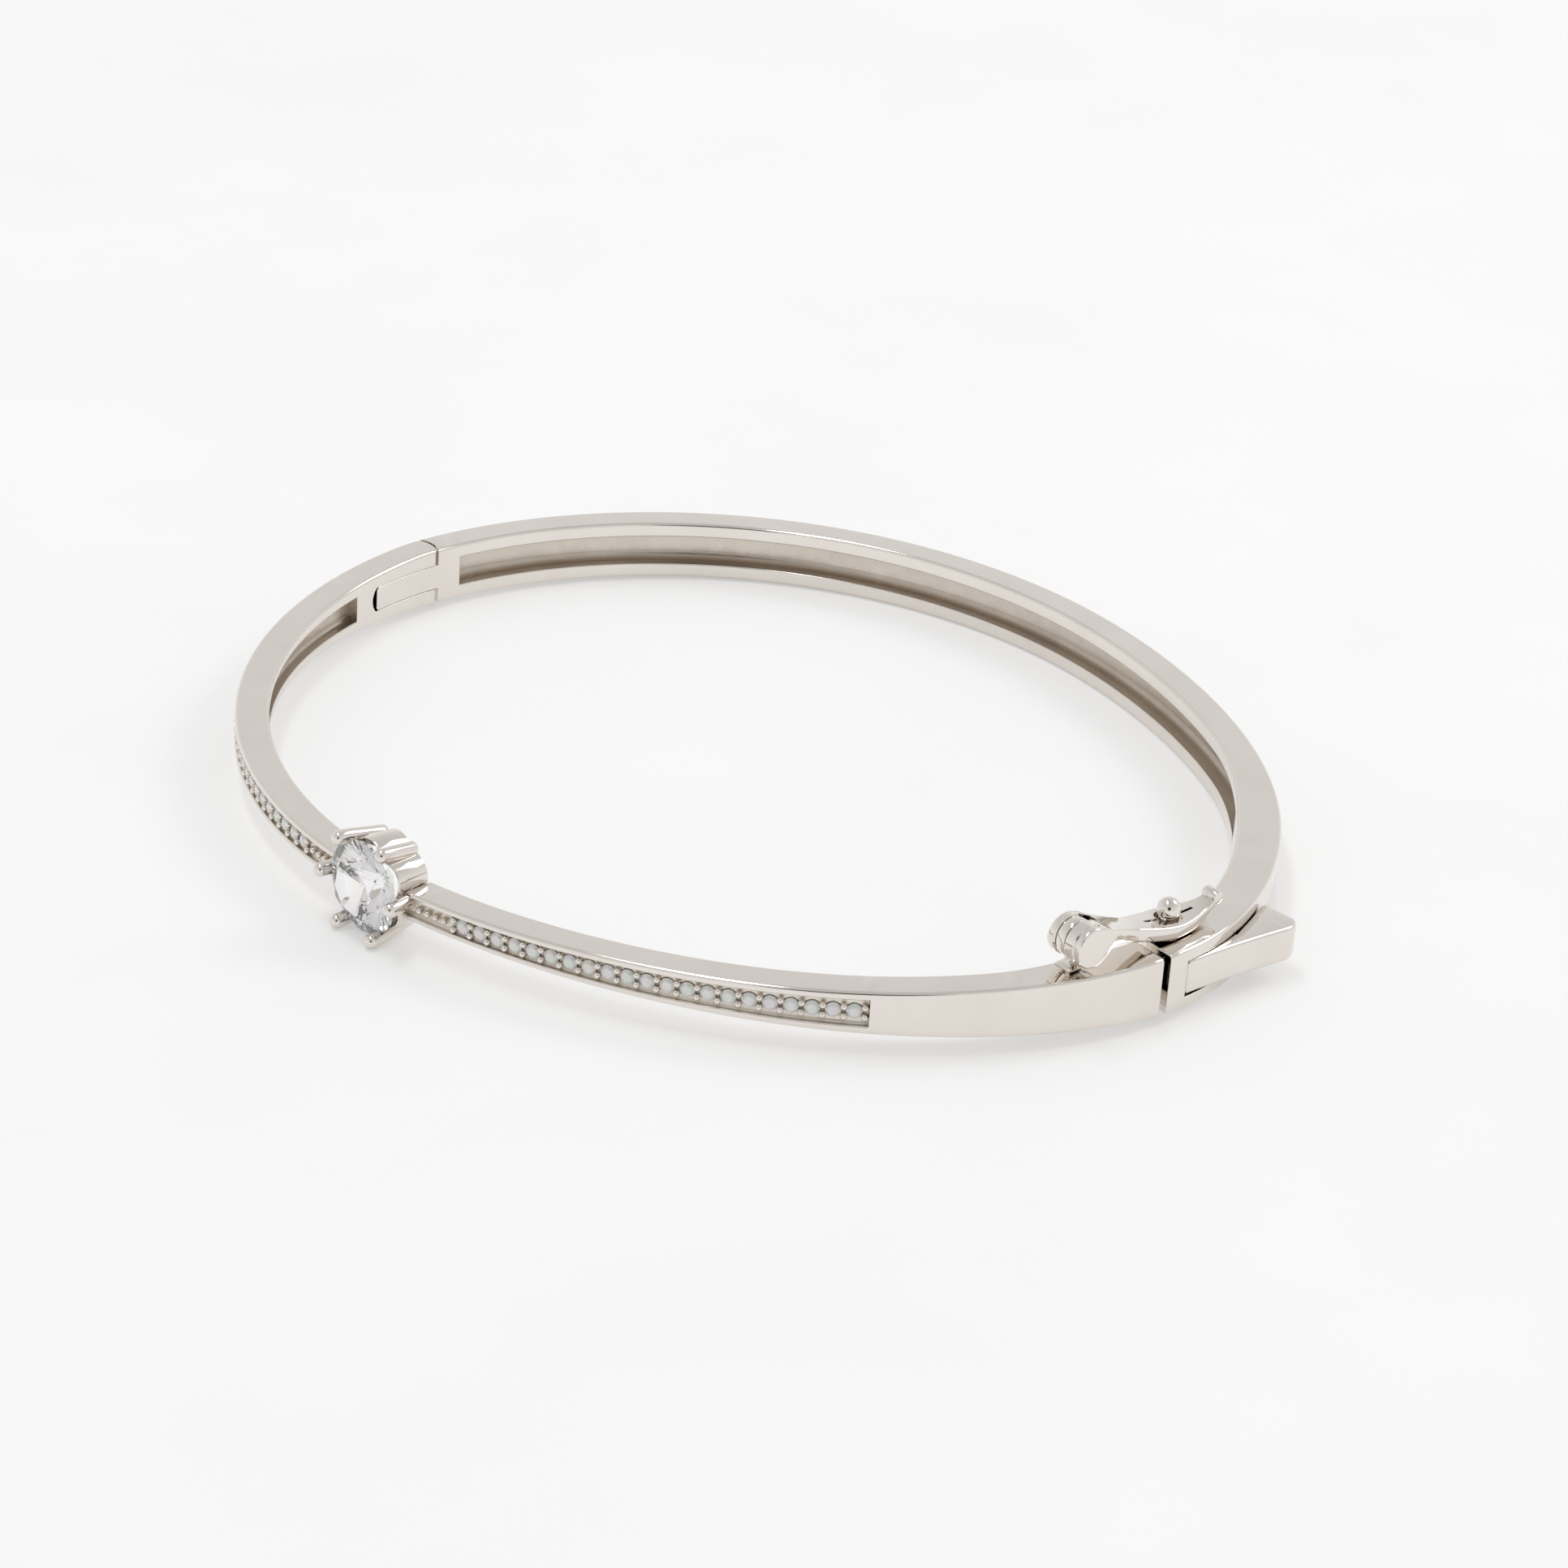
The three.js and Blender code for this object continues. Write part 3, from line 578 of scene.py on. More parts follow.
def mixed(tree, factor, low, high):
    made = tree.nodes.new("ShaderNodeMix")
    made.data_type = "RGBA"
    for socket, colour in (("A", low), ("B", high)):
        into = next(s for s in made.inputs if s.name == socket and s.type == "RGBA")
        if isinstance(colour, tuple):
            into.default_value = (*colour, 1)
        else:
            tree.links.new(colour, into)
    tree.links.new(factor, next(s for s in made.inputs if s.name == "Factor"))
    return next(s for s in made.outputs if s.type == "RGBA")


def metal(name, colours, roughness, grain, reach):
    """Cast and polished metal: cloudy polish, fine grain, rounded edges, painted shade in its crevices.

    The colours are of bright metal, worn metal and the shade painted into crevices over the reach.
    """
    bright, worn, crevice_painted_shade = colours
    material, tree, shader = new_material(name)
    shader.inputs["Metallic"].default_value = 1
    clouds = mixed(tree, mapped(tree, noise(tree, 260), 0, 1), bright, worn)
    # Ambient occlusion paints shade into the base colour where walls are close by.
    shade = node(tree, "ShaderNodeAmbientOcclusion", Distance=reach, samples=6)
    colour = mixed(tree, mapped(tree, shade.outputs["AO"], 0, 1, 0.25, 0.95), crevice_painted_shade, clouds)
    tree.links.new(colour, shader.inputs["Base Color"])
    polish = mapped(tree, noise(tree, 900, 5), *roughness)
    tree.links.new(polish, shader.inputs["Roughness"])
    rounded = node(tree, "ShaderNodeBevel", Radius=0.00006, samples=4)
    relief = node(tree, "ShaderNodeBump", Strength=grain, Distance=0.00002)
    tree.links.new(noise(tree, 3200, 4), relief.inputs["Height"])
    tree.links.new(rounded.outputs["Normal"], relief.inputs["Normal"])
    tree.links.new(relief.outputs["Normal"], shader.inputs["Normal"])
    return material


def crystal(name, painted_fire_tints, ior, scale, roughest, clear):
    """Cut cubic zirconia, with painted flashes of dispersion fire: tints in cells of its own scale."""
    material, tree, shader = new_material(name)
    shader.inputs["Transmission Weight"].default_value = clear
    shader.inputs["IOR"].default_value = ior
    place = node(tree, "ShaderNodeTexCoord")
    cells = node(tree, "ShaderNodeTexVoronoi", Scale=scale)
    tree.links.new(place.outputs["Object"], cells.inputs["Vector"])
    split = tree.nodes.new("ShaderNodeSeparateColor")
    tree.links.new(cells.outputs["Color"], split.inputs["Color"])
    ramp = tree.nodes.new("ShaderNodeValToRGB")
    ramp.color_ramp.interpolation = "CONSTANT"
    stops = ramp.color_ramp.elements
    for i, tint in enumerate(painted_fire_tints):
        stop = stops[0] if i == 0 else stops.new(i / len(painted_fire_tints))
        stop.color = (*tint, 1)
    tree.links.new(split.outputs["Red"], ramp.inputs["Fac"])
    tree.links.new(ramp.outputs["Color"], shader.inputs["Base Color"])
    polish = mapped(tree, noise(tree, 2500), 0.0, roughest)
    tree.links.new(polish, shader.inputs["Roughness"])
    return material


# The third colour of each silver is the painted shade for its crevices.
polished_silver = metal(
    "polished_silver",
    colours=((0.82, 0.775, 0.725), (0.785, 0.735, 0.685), (0.6, 0.54, 0.48)),
    roughness=(0.04, 0.09),
    grain=0.02,
    reach=0.0004,
)
channel_silver = metal(
    "channel_silver",
    colours=((0.88, 0.84, 0.78), (0.8, 0.75, 0.68), (0.6, 0.54, 0.46)),
    roughness=(0.25, 0.45),
    grain=0.3,
    reach=0.0003,
)
# Rougher than the polish; its darker colour is painted shade for the inside of hollows.
hollow_silver_painted_shade = metal(
    "hollow_silver_painted_shade",
    colours=((0.74, 0.68, 0.615), (0.68, 0.62, 0.555), (0.46, 0.4, 0.33)),
    roughness=(0.2, 0.34),
    grain=0.08,
    reach=0.0012,
)
# Darker still: painted shade for the hollow's lower fillet, where the shade is deepest.
flange_silver_painted_shade = metal(
    "flange_silver_painted_shade",
    colours=((0.56, 0.49, 0.42), (0.48, 0.42, 0.36), (0.36, 0.31, 0.25)),
    roughness=(0.25, 0.4),
    grain=0.1,
    reach=0.0008,
)
pin_silver = metal(
    "pin_silver",
    colours=((0.76, 0.72, 0.68), (0.66, 0.62, 0.58), (0.4, 0.36, 0.32)),
    roughness=(0.14, 0.3),
    grain=0.12,
    reach=0.0004,
)
spring_steel = metal(
    "spring_steel",
    colours=((0.5, 0.49, 0.48), (0.4, 0.39, 0.385), (0.3, 0.29, 0.28)),
    roughness=(0.2, 0.36),
    grain=0.2,
    reach=0.0004,
)
# In the order of the polished, channel, hollow and flange indices; the last two hold painted shade.
SILVERS = (polished_silver, channel_silver, hollow_silver_painted_shade, flange_silver_painted_shade)

# Both crystals carry painted dispersion fire in their tints.
centre_crystal = crystal(
    "centre_crystal",
    painted_fire_tints=((1, 1, 1), (0.99, 0.96, 1), (1, 0.95, 0.88), (0.95, 1, 0.96), (1, 0.99, 1), (1, 1, 1)),
    ior=2.0,
    scale=900,
    roughest=0.01,
    clear=0.95,
)
pave_crystal = crystal(
    "pave_crystal",
    painted_fire_tints=(
        (1, 1, 0.98),
        (1, 0.93, 0.92),
        (0.9, 0.98, 0.9),
        (1, 0.96, 0.88),
        (0.98, 0.95, 1),
        (1, 1, 1),
    ),
    ior=1.75,
    scale=2400,
    roughest=0.03,
    clear=0.32,
)


# ---- bands --------------------------------------------------------------------------------


def section(degrees, trim, hollow_depth, channel_depth):
    """The band's cross-section as (inset, z, material of the strip to the next point)."""
    height = band_height(degrees)
    half = height / 2 - trim
    low, high = trim, band_thickness(degrees) - trim
    r = EDGE_RADIUS

    def corner(x, z, from_degrees, to_degrees):
        return [(*point, POLISHED) for point in arc(x, z, r, from_degrees, to_degrees, 5)]

    top = height / 2 * PAVE_CHANNEL_SHARE
    lip, fillet = min(LIP, channel_depth / 2), min(FILLET, channel_depth / 2)
    wall = [
        (0, top + LIP, POLISHED),
        (lip, top, CHANNEL),
        (channel_depth - fillet, top, CHANNEL),
        (channel_depth, top - fillet, CHANNEL),
    ]
    points = corner(low + r, -half + r, 270, 180)
    points += [(low + x, -z, m) for x, z, m in wall]
    points += [(low + x, z, m) for x, z, m in reversed(wall)]
    points += corner(low + r, half - r, 180, 90)

    top = height / 2 * HOLLOW_SHARE
    lip, fillet = min(LIP, hollow_depth / 2), min(HOLLOW_FILLET, hollow_depth / 2, top / 2)
    curve = arc(hollow_depth - fillet, top - fillet, fillet, 90, 0, 5)
    wall = [(0, top + LIP), (lip, top), *curve]
    # The hollow's curve takes the darker silvers: painted shade, darker towards the bottom.
    upper = [POLISHED, HOLLOW_PAINTED_SHADE] + [HOLLOW_PAINTED_SHADE] * len(curve)
    lower = [POLISHED, POLISHED] + [FLANGE_PAINTED_SHADE] * len(curve)
    points += corner(high - r, half - r, 90, 0)
    points += [(high - x, z, m) for (x, z), m in zip(wall, upper)]
    points += [(high - x, -z, m) for (x, z), m in reversed([*zip(wall, lower)])]
    points += corner(high - r, -half + r, 0, -90)
    return points


def within(degrees, ranges):
    return next((r for r in ranges if r[0] <= degrees <= r[1]), None)


def band(from_degrees, to_degrees, hollow, channel=None, round_start=False, round_end=False):
    """A length of band. The hollow is (from, to, depth) and the paved channel is (from, to)."""
    marks = {from_degrees, to_degrees}
    for start, end in [hollow[:2]] + ([channel] if channel else []):
        marks |= {start - WALL_DEGREES, start, end, end + WALL_DEGREES}
    trims = {}
    for rounded, at, sense in ((round_start, from_degrees, 1), (round_end, to_degrees, -1)):
        for turn in (0, 30, 60, 90) if rounded else ():
            distance = END_RADIUS * (1 - math.cos(math.radians(turn)))
            trims[at + sense * distance / CLASP_MM_PER_DEGREE] = drawn_in(distance, END_RADIUS)
    marks = sorted(marks | set(trims))
    angles = []
    for a, b in zip(marks, marks[1:]):
        steps = max(1, math.ceil((b - a) / BAND_STEP_DEGREES))
        angles += [lerp(a, b, i / steps) for i in range(steps)]
    angles.append(marks[-1])
    rings, kinds = [], []
    for degrees in angles:
        hollowed = within(degrees, [hollow])
        paved = channel and within(degrees, [channel])
        hollow_depth = hollow[2] if hollowed else 0
        channel_depth = PAVE_CHANNEL_DEPTH if paved else 0
        ring = section(degrees, trims.get(degrees, 0), hollow_depth, channel_depth)
        rings.append([band_point(degrees, inset, z) for inset, z, _ in ring])
        plain = {CHANNEL} if not paved else set()
        plain |= {HOLLOW_PAINTED_SHADE, FLANGE_PAINTED_SHADE} if not hollowed else set()
        kinds.append([POLISHED if m in plain else m for *_, m in ring])
    return temporary(
        loft(bmesh.new(), rings, lambda i, j: max(kinds[i][j], kinds[i + 1][j])),
        "band",
    )


def bent_bar(from_degrees, to_degrees, outer, inner, half, corner=0.0, bow=0.0):
    """A bar along the oval. Its far end has rounded corners, or bows out as one shallow arc."""
    ends = {}
    if corner:
        for turn in range(0, 100, 10):
            a = math.radians(turn)
            at = to_degrees - corner * (1 - math.cos(a)) / HINGE_MM_PER_DEGREE
            ends[at] = half - corner * (1 - math.sin(a))
    if bow:
        radius = (half**2 + bow**2) / (2 * bow)
        for i in range(13):
            depth = bow * (i / 12) ** 2
            reach = math.sqrt(radius**2 - (radius - depth) ** 2)
            ends[to_degrees - depth / HINGE_MM_PER_DEGREE] = max(reach, 0.02)
    straight = to_degrees - max(corner, bow) / HINGE_MM_PER_DEGREE
    steps = math.ceil((straight - from_degrees) / BAND_STEP_DEGREES)
    angles = [lerp(from_degrees, straight, i / steps) for i in range(steps)] + sorted(ends)
    rings = []
    for degrees in angles:
        h = min(ends.get(degrees, half), half)
        corners = rounded_rectangle(outer, inner, -h, h, HINGE_TAIL_EDGE, 2)
        rings.append([band_point(degrees, inset, z) for inset, z in corners])
    return temporary(loft(bmesh.new(), rings), "bar")


def pave_angle(place, side):
    return angle_at_distance(side * (PAVE_FIRST + place * PAVE_PITCH))


def on_outer_face(degrees, depth, z):
    """A frame whose Z points straight out of the band's outer face, sunk by a depth."""
    turn = outward(degrees).to_track_quat("Z", "X").to_matrix().to_4x4()
    return Matrix.Translation(band_point(degrees, depth, z)) @ turn


def pave_seats(side):
    """Cones to cut out of the channel's floor, one under each stone."""
    bm = bmesh.new()
    r, sink = PAVE_STONE_RADIUS, PAVE_SEAT_SINK
    cone = [(0, -PAVE_SEAT_DEPTH), (r / 2, -PAVE_SEAT_DEPTH), (r + 0.02, -0.2), (r + 0.04, sink)]
    for i in range(PAVE_COUNT):
        turned(bm, [*cone, (0, sink)], 20, on_outer_face(pave_angle(i, side), sink, 0), CHANNEL)
    return temporary(bm, "seats")


def setting_room():
    """What to cut out of the arms' ends, so that the setting fits between them."""
    r, top = SETTING_RIM_RADIUS - 0.05, SETTING_WALL_LENGTH + 0.9
    room = turned(bmesh.new(), [(0, -1), (r, -1), (r, top), (0, top)], 64, SETTING_FRAME)
    return temporary(room, "room")


def channel_range(side):
    ends = (angle_at_distance(side * d) for d in (PAVE_CHANNEL_START, PAVE_CHANNEL_END))
    return tuple(sorted(ends))


def hinge_pin_hole():
    radius, top = HINGE_PIN_RADIUS + PIN_PLAY, PIN_TOP + PIN_END_PLAY
    bm = cylinder(bmesh.new(), radius, HINGE_X, HINGE_Y, -BAND_HEIGHT, top, 40)
    return temporary(bm, "hole")


def right_arm():
    """The right arm, with the clasp tongue's root let into its end."""
    end = CLASP_ANGLE - CLASP_GAP_DEGREES / 2
    arm = band(RIGHT_ARM_START, end, RIGHT_HOLLOW, channel_range(1), round_end=True)
    g = TONGUE_PLAY
    h = TONGUE_HALF_HEIGHT + g
    x0, x1 = TONGUE_INNER_X - g, TONGUE_OUTER_X + g
    # The socket's walls take the hollow silver, darkened with painted shade.
    socket = box(bmesh.new(), x0, x1, TONGUE_ROOT_Y - g, 0, -h, h, HOLLOW_PAINTED_SHADE)
    combine(arm, [temporary(socket), pave_seats(1), setting_room()])
    return finished(arm, "right_arm_body", "front_half", ["right_arm"])


def left_arm():
    """The left arm, rounded about the hinge's pin and slotted for the knuckle and the tail."""
    arm = band(LEFT_ARM_START, LEFT_ARM_END, LEFT_HOLLOW, channel_range(-1))
    x, y = HINGE_X, HINGE_Y
    past = [(x - 3, y), *arc(x, y, HINGE_BARREL_RADIUS, 180, 0, 40), (x + 3, y)]
    past += [(x + 3, y + 4), (x - 3, y + 4)]
    half = HINGE_TONGUE_HEIGHT / 2 + TONGUE_SIDE_GAP
    outer = BAND_THICKNESS - HINGE_TAIL_THICKNESS - SLOT_GAP
    end = HINGE_TAIL_END + HINGE_END_GAP / HINGE_MM_PER_DEGREE + HINGE_END_SLACK_DEGREES
    slot = bent_bar(HINGE_SLOT_START, end, outer, BAND_THICKNESS + 1, half, bow=HINGE_END_GAP)
    knuckle = box(bmesh.new(), x - 2, x + 2, y, y + 4, -half, half)
    sweep = cylinder(bmesh.new(), HINGE_SWEEP_RADIUS, x, y, -half, half, 48)
    beyond = prism(bmesh.new(), past, -THROUGH, THROUGH)
    tools = [temporary(bm) for bm in (beyond, knuckle, sweep)]
    combine(arm, tools + [slot, hinge_pin_hole(), pave_seats(-1), setting_room()])
    return finished(arm, "left_arm_body", "front_half", ["left_arm"])


def back_band():
    """The plain half: the hinge's socket, knuckle and tail at one end, the clasp's box at the other."""
    start = CLASP_ANGLE + CLASP_GAP_DEGREES / 2
    back = band(start, BACK_BAND_END, BACK_HOLLOW, round_start=True)
    x, y = HINGE_X, HINGE_Y
    below = box(bmesh.new(), x - 3, x + 3, y - 6, y, -THROUGH, THROUGH)
    socket = cylinder(bmesh.new(), HINGE_SOCKET_RADIUS, x, y, -THROUGH, THROUGH, 80)
    combine(back, [temporary(below), temporary(socket)])

    half = HINGE_TONGUE_HEIGHT / 2
    outer = BAND_THICKNESS - HINGE_TAIL_THICKNESS
    ends = HINGE_TAIL_START, HINGE_TAIL_END
    tail = bent_bar(*ends, outer, BAND_THICKNESS, half, corner=HINGE_TAIL_CORNER)
    r = BAND_THICKNESS / 2 - 0.02
    knuckle = cylinder(bmesh.new(), r, x, y, -half, half, 48)
    neck = box(bmesh.new(), x - r, x + r, y, y + 2.4, -half, half)
    combine(back, [tail, temporary(knuckle), temporary(neck)], "UNION")

    x, y = LEVER_PIN_X, LEVER_PIN_Y
    h = BOX_HALF_HEIGHT
    # The box's cavity, slot and pocket take the hollow silver, darkened with painted shade.
    cavity = box(bmesh.new(), BOX_INNER_X, BOX_OUTER_X, -4, BOX_END_Y, -h, h, HOLLOW_PAINTED_SHADE)
    h = LEVER_HALF_HEIGHT + SLOT_GAP
    slot = box(bmesh.new(), BOX_OUTER_X - SLOT_GAP, 36, y, LEVER_SLOT_END_Y, -h, h, HOLLOW_PAINTED_SHADE)
    pocket = cylinder(bmesh.new(), LEVER_POCKET_RADIUS, x, y, -h, h, 48, HOLLOW_PAINTED_SHADE)
    r, top = LEVER_PIN_RADIUS + PIN_FIT, PIN_TOP + PIN_END_PLAY
    hole = cylinder(bmesh.new(), r, x, y, -THROUGH, top, 32)
    combine(back, [temporary(bm) for bm in (cavity, slot, pocket, hole)] + [hinge_pin_hole()])
    return finished(back, "back_band_body", "back_half", ["back_band"])


# ---- setting and stones -------------------------------------------------------------------


def basket():
    """The wall between the prongs: a lobe bulges out and the rim dips in each of the six bays."""
    bm = bmesh.new()
    rings = []
    inner = SETTING_BACK_RADIUS - SETTING_WALL_THICKNESS
    for i in range(144):
        a = math.radians(i * 2.5)
        lobe = abs(math.sin(a * PRONG_COUNT / 2))
        top = SETTING_WALL_LENGTH - 0.22 * lobe
        points = []
        for t in (step / 8 for step in range(9)):
            belly = math.sin(math.pi * t) * 0.06
            spread = lerp(SETTING_BACK_RADIUS, SETTING_RIM_RADIUS, t)
            points.append((spread - 0.3 + (0.36 + belly) * lobe, t * (top - 0.05)))
        points.append((points[-1][0] - 0.05, top))
        points.append((points[-1][0] - 0.06, top - 0.03))
        points += [(SETTING_RIM_RADIUS - 0.5, top - 0.4), (inner, 0.04), (inner + 0.05, 0)]
        c, s = math.cos(a), math.sin(a)
        rings.append([SETTING_FRAME @ Vector((r * c, r * s, h)) for r, h in points])
    skin(bm, rings + rings[:1])
    return temporary(bm, "basket")


def prong(index, length):
    """A round wire, leaning outwards, whose domed tip closes over the girdle."""
    a = math.radians(index * 360 / PRONG_COUNT)
    full = SETTING_BACK_Y - PRONG_TIP_Y
    straight = length - PRONG_RADIUS
    heights = [0, 0.03, 0.08] + [straight * i / 10 for i in range(1, 11)]
    for turn in (15, 30, 45, 60, 72, 82, 88):
        heights.append(straight + PRONG_RADIUS * math.sin(math.radians(turn)))
    path, radii = [], []
    for height in heights:
        spread = lerp(PRONG_SPREAD_BACK, PRONG_SPREAD_TIP, height / full)
        spread -= PRONG_LEAN_IN * smoothstep(height, length - 1.1, length)
        path.append(SETTING_FRAME @ Vector((spread * math.cos(a), spread * math.sin(a), height)))
        dome = max(height - straight, 0) / PRONG_RADIUS
        foot = 0.05 * max(0, 1 - height / 0.08)
        radii.append(PRONG_RADIUS * math.sqrt(max(1 - dome**2, 0)) - foot)
    return wire(bmesh.new(), path, radii, 28)


def stone_setting():
    made = basket()
    lengths = [SETTING_BACK_Y - PRONG_TIP_Y] * PRONG_COUNT
    lengths[SHORT_PRONG] -= SHORT_PRONG_BY
    prongs = [temporary(prong(i, length)) for i, length in enumerate(lengths)]
    combine(made, prongs, "UNION")
    return finished(made, "stone_setting_body", "front_half", ["stone_setting"], smooth=40)


def brilliant(radius, crown, pavilion, girdle):
    """A brilliant cut about Z, girdle at the origin: the hull of its facets' corners."""
    bm = bmesh.new()
    table = TABLE_SHARE * radius
    half_step = math.pi / MAIN_FACETS
    kite = 0.5 * (TABLE_SHARE * math.cos(half_step) + 1) * radius
    slope = (crown - girdle) / (radius * (1 - TABLE_SHARE))
    kite_z = crown - (kite * math.cos(half_step) - table) * slope
    lower = 0.25 * radius
    lower_z = -pavilion + lower * math.cos(half_step) * (pavilion - girdle) / radius

    def ring(r, z, count, offset):
        for i in range(count):
            a = offset + i * 2 * math.pi / count
            bm.verts.new((r * math.cos(a), r * math.sin(a), z))

    ring(table, crown, MAIN_FACETS, 0)
    ring(kite, kite_z, MAIN_FACETS, half_step)
    ring(radius, girdle, MAIN_FACETS * 4, 0)
    ring(radius, -girdle, MAIN_FACETS * 4, 0)
    ring(lower, lower_z, MAIN_FACETS, half_step)
    bm.verts.new((0, 0, -pavilion))
    bmesh.ops.convex_hull(bm, input=bm.verts)
    bmesh.ops.dissolve_limit(bm, angle_limit=math.radians(1.0), verts=bm.verts, edges=bm.edges)
    return bm


def stone(bm, name, place, nodes, material):
    made = temporary(bm, name)
    made.data.materials.clear()
    made.data.materials.append(material)
    return finished(made, name, "front_half", nodes, place=place, flat=True)


def centre_stone():
    sunk = Matrix.Translation((0, 0, SETTING_BACK_Y - STONE_GIRDLE_Y))
    place = SETTING_FRAME @ sunk @ Matrix.Rotation(math.radians(STONE_TURN), 4, "Z")
    cut = brilliant(STONE_RADIUS, STONE_CROWN, STONE_PAVILION, STONE_GIRDLE)
    return stone(cut, "centre_stone_cut", place, ["centre_stone"], centre_crystal)


def pave_stones():
    for side_name, side in (("left", -1), ("right", 1)):
        for i in range(PAVE_COUNT):
            number = f"{side_name}_{i + 1:02d}"
            turn = Matrix.Rotation(math.radians(i * PAVE_STONE_TURN), 4, "Z")
            place = on_outer_face(pave_angle(i, side), PAVE_GIRDLE_DEPTH, 0) @ turn
            sizes = PAVE_STONE_RADIUS, PAVE_STONE_CROWN, PAVE_STONE_PAVILION, PAVE_STONE_GIRDLE
            nodes = [f"pave_{number}"]
            name = f"pave_stone_{number}"
            stone(brilliant(*sizes), name, place, nodes, pave_crystal)


def pave_beads(side_name, side):
    """The raised grains: a pair between each two stones, and a single row before the first."""
    bm = bmesh.new()
    places = [(angle_at_distance(side * d), 0) for d in STARTER_BEADS]
    for i in range(PAVE_COUNT + 1):
        between = pave_angle(i - 0.5, side)
        places += [(between, -BEAD_SPREAD), (between, BEAD_SPREAD)]
    r = BEAD_RADIUS
    turns = [math.radians(turn) for turn in (0, 20, 40, 58, 74)]
    dome = [(r * math.cos(turn), r * math.sin(turn)) for turn in turns]
    profile = [(0, BEAD_ROOT), (r * 1.15, BEAD_ROOT), (r * 1.02, -0.12), *dome, (0, r)]
    for degrees, z in places:
        turned(bm, profile, 16, on_outer_face(degrees, r * 0.7, z))
    return finished(temporary(bm, "beads"), f"{side_name}_beads", "front_half", smooth=60)


# ---- clasp --------------------------------------------------------------------------------


def window_end():
    """How far along the tongue its window goes, to clear the swing of the hook's tip."""
    swing = math.sqrt(HOOK_REACH**2 - (LEVER_PIN_X - TONGUE_OUTER_X) ** 2)
    return LEVER_PIN_Y + swing + SLOT_GAP


def clasp_tongue():
    """The spring tongue: a blade with a chamfered nose and a window for the lever's hook."""
    x0, x1 = TONGUE_INNER_X, TONGUE_OUTER_X
    plan = [(x0, TONGUE_ROOT_Y), (x1, TONGUE_ROOT_Y)]
    plan += [(x1, TONGUE_TIP_Y - TONGUE_NOSE), (x1 - TONGUE_NOSE, TONGUE_TIP_Y)]
    plan += [(x0 + TONGUE_NOSE, TONGUE_TIP_Y), (x0, TONGUE_TIP_Y - TONGUE_NOSE)]
    h = TONGUE_HALF_HEIGHT
    blade = temporary(soften(prism(bmesh.new(), plan, -h, h), 0.05))
    h = WINDOW_HALF_HEIGHT
    hole = box(bmesh.new(), x0 - 1, x1 + 1, WINDOW_FROM_Y, window_end(), -h, h)
    combine(blade, [temporary(hole)])
    return finished(blade, "clasp_tongue_blade", "front_half", ["clasp_tongue"])


def lever_outer_face(y):
    """The lever's outer face: a cubic curve that ends in a rounded corner."""
    root = LEVER_PIN_Y - LEVER_ROOT
    t = min(max((y - root) / (LEVER_END_Y - 1.15 - LEVER_PIN_Y + LEVER_ROOT), 0), 1)
    weights = ((1 - t) ** 3, 3 * t * (1 - t) ** 2, 3 * t**2 * (1 - t), t**3)
    outer = CLASP_FACE_X + sum(b * w for b, w in zip(LEVER_BEND, weights))
    turn = max(y - (LEVER_END_Y - LEVER_CORNER), 0) / LEVER_CORNER
    return outer - LEVER_CORNER * (1 - math.sqrt(max(1 - turn**2, 0))) * 0.9


def lever_inner_face(root_y):
    """The lever's inner face as (y, x): straight by the pin, then along the band."""
    root_x = LEVER_PIN_X - LEVER_ROOT + 0.02
    face = [
        (root_y, root_x + LEVER_HEEL_RELIEF),
        (LEVER_PIN_Y - LEVER_HEEL, root_x),
        (2.4, root_x),
        (LEVER_SLOT_END_Y - 0.65, BOX_OUTER_X + 0.02),
        (LEVER_SLOT_END_Y, CLASP_FACE_X - 0.42),
    ]
    for degrees in LEVER_FOLLOWS_BAND:
        opened = smoothstep(degrees, LEVER_GAP_OPENS, LEVER_FOLLOWS_BAND[-1])
        point = band_point(degrees, -lerp(LEVER_SHADOW_GAP, LEVER_END_GAP, opened), 0)
        face.append((point.y, point.x))
    return face


def lever_hook():
    """The hook under the lever, whose far side is an arc about the lever's pin."""
    start_y = WINDOW_FROM_Y + 0.1
    back = BOX_OUTER_X + 0.2
    turns = [math.degrees(math.acos((x - LEVER_PIN_X) / HOOK_REACH)) for x in (back, HOOK_TIP_X)]
    plan = [(back, start_y), *arc(LEVER_PIN_X, LEVER_PIN_Y, HOOK_REACH, *turns, 12)]
    plan.append((HOOK_TIP_X, start_y))
    h = HOOK_HALF_HEIGHT
    return temporary(soften(prism(bmesh.new(), plan, -h, h), 0.04))


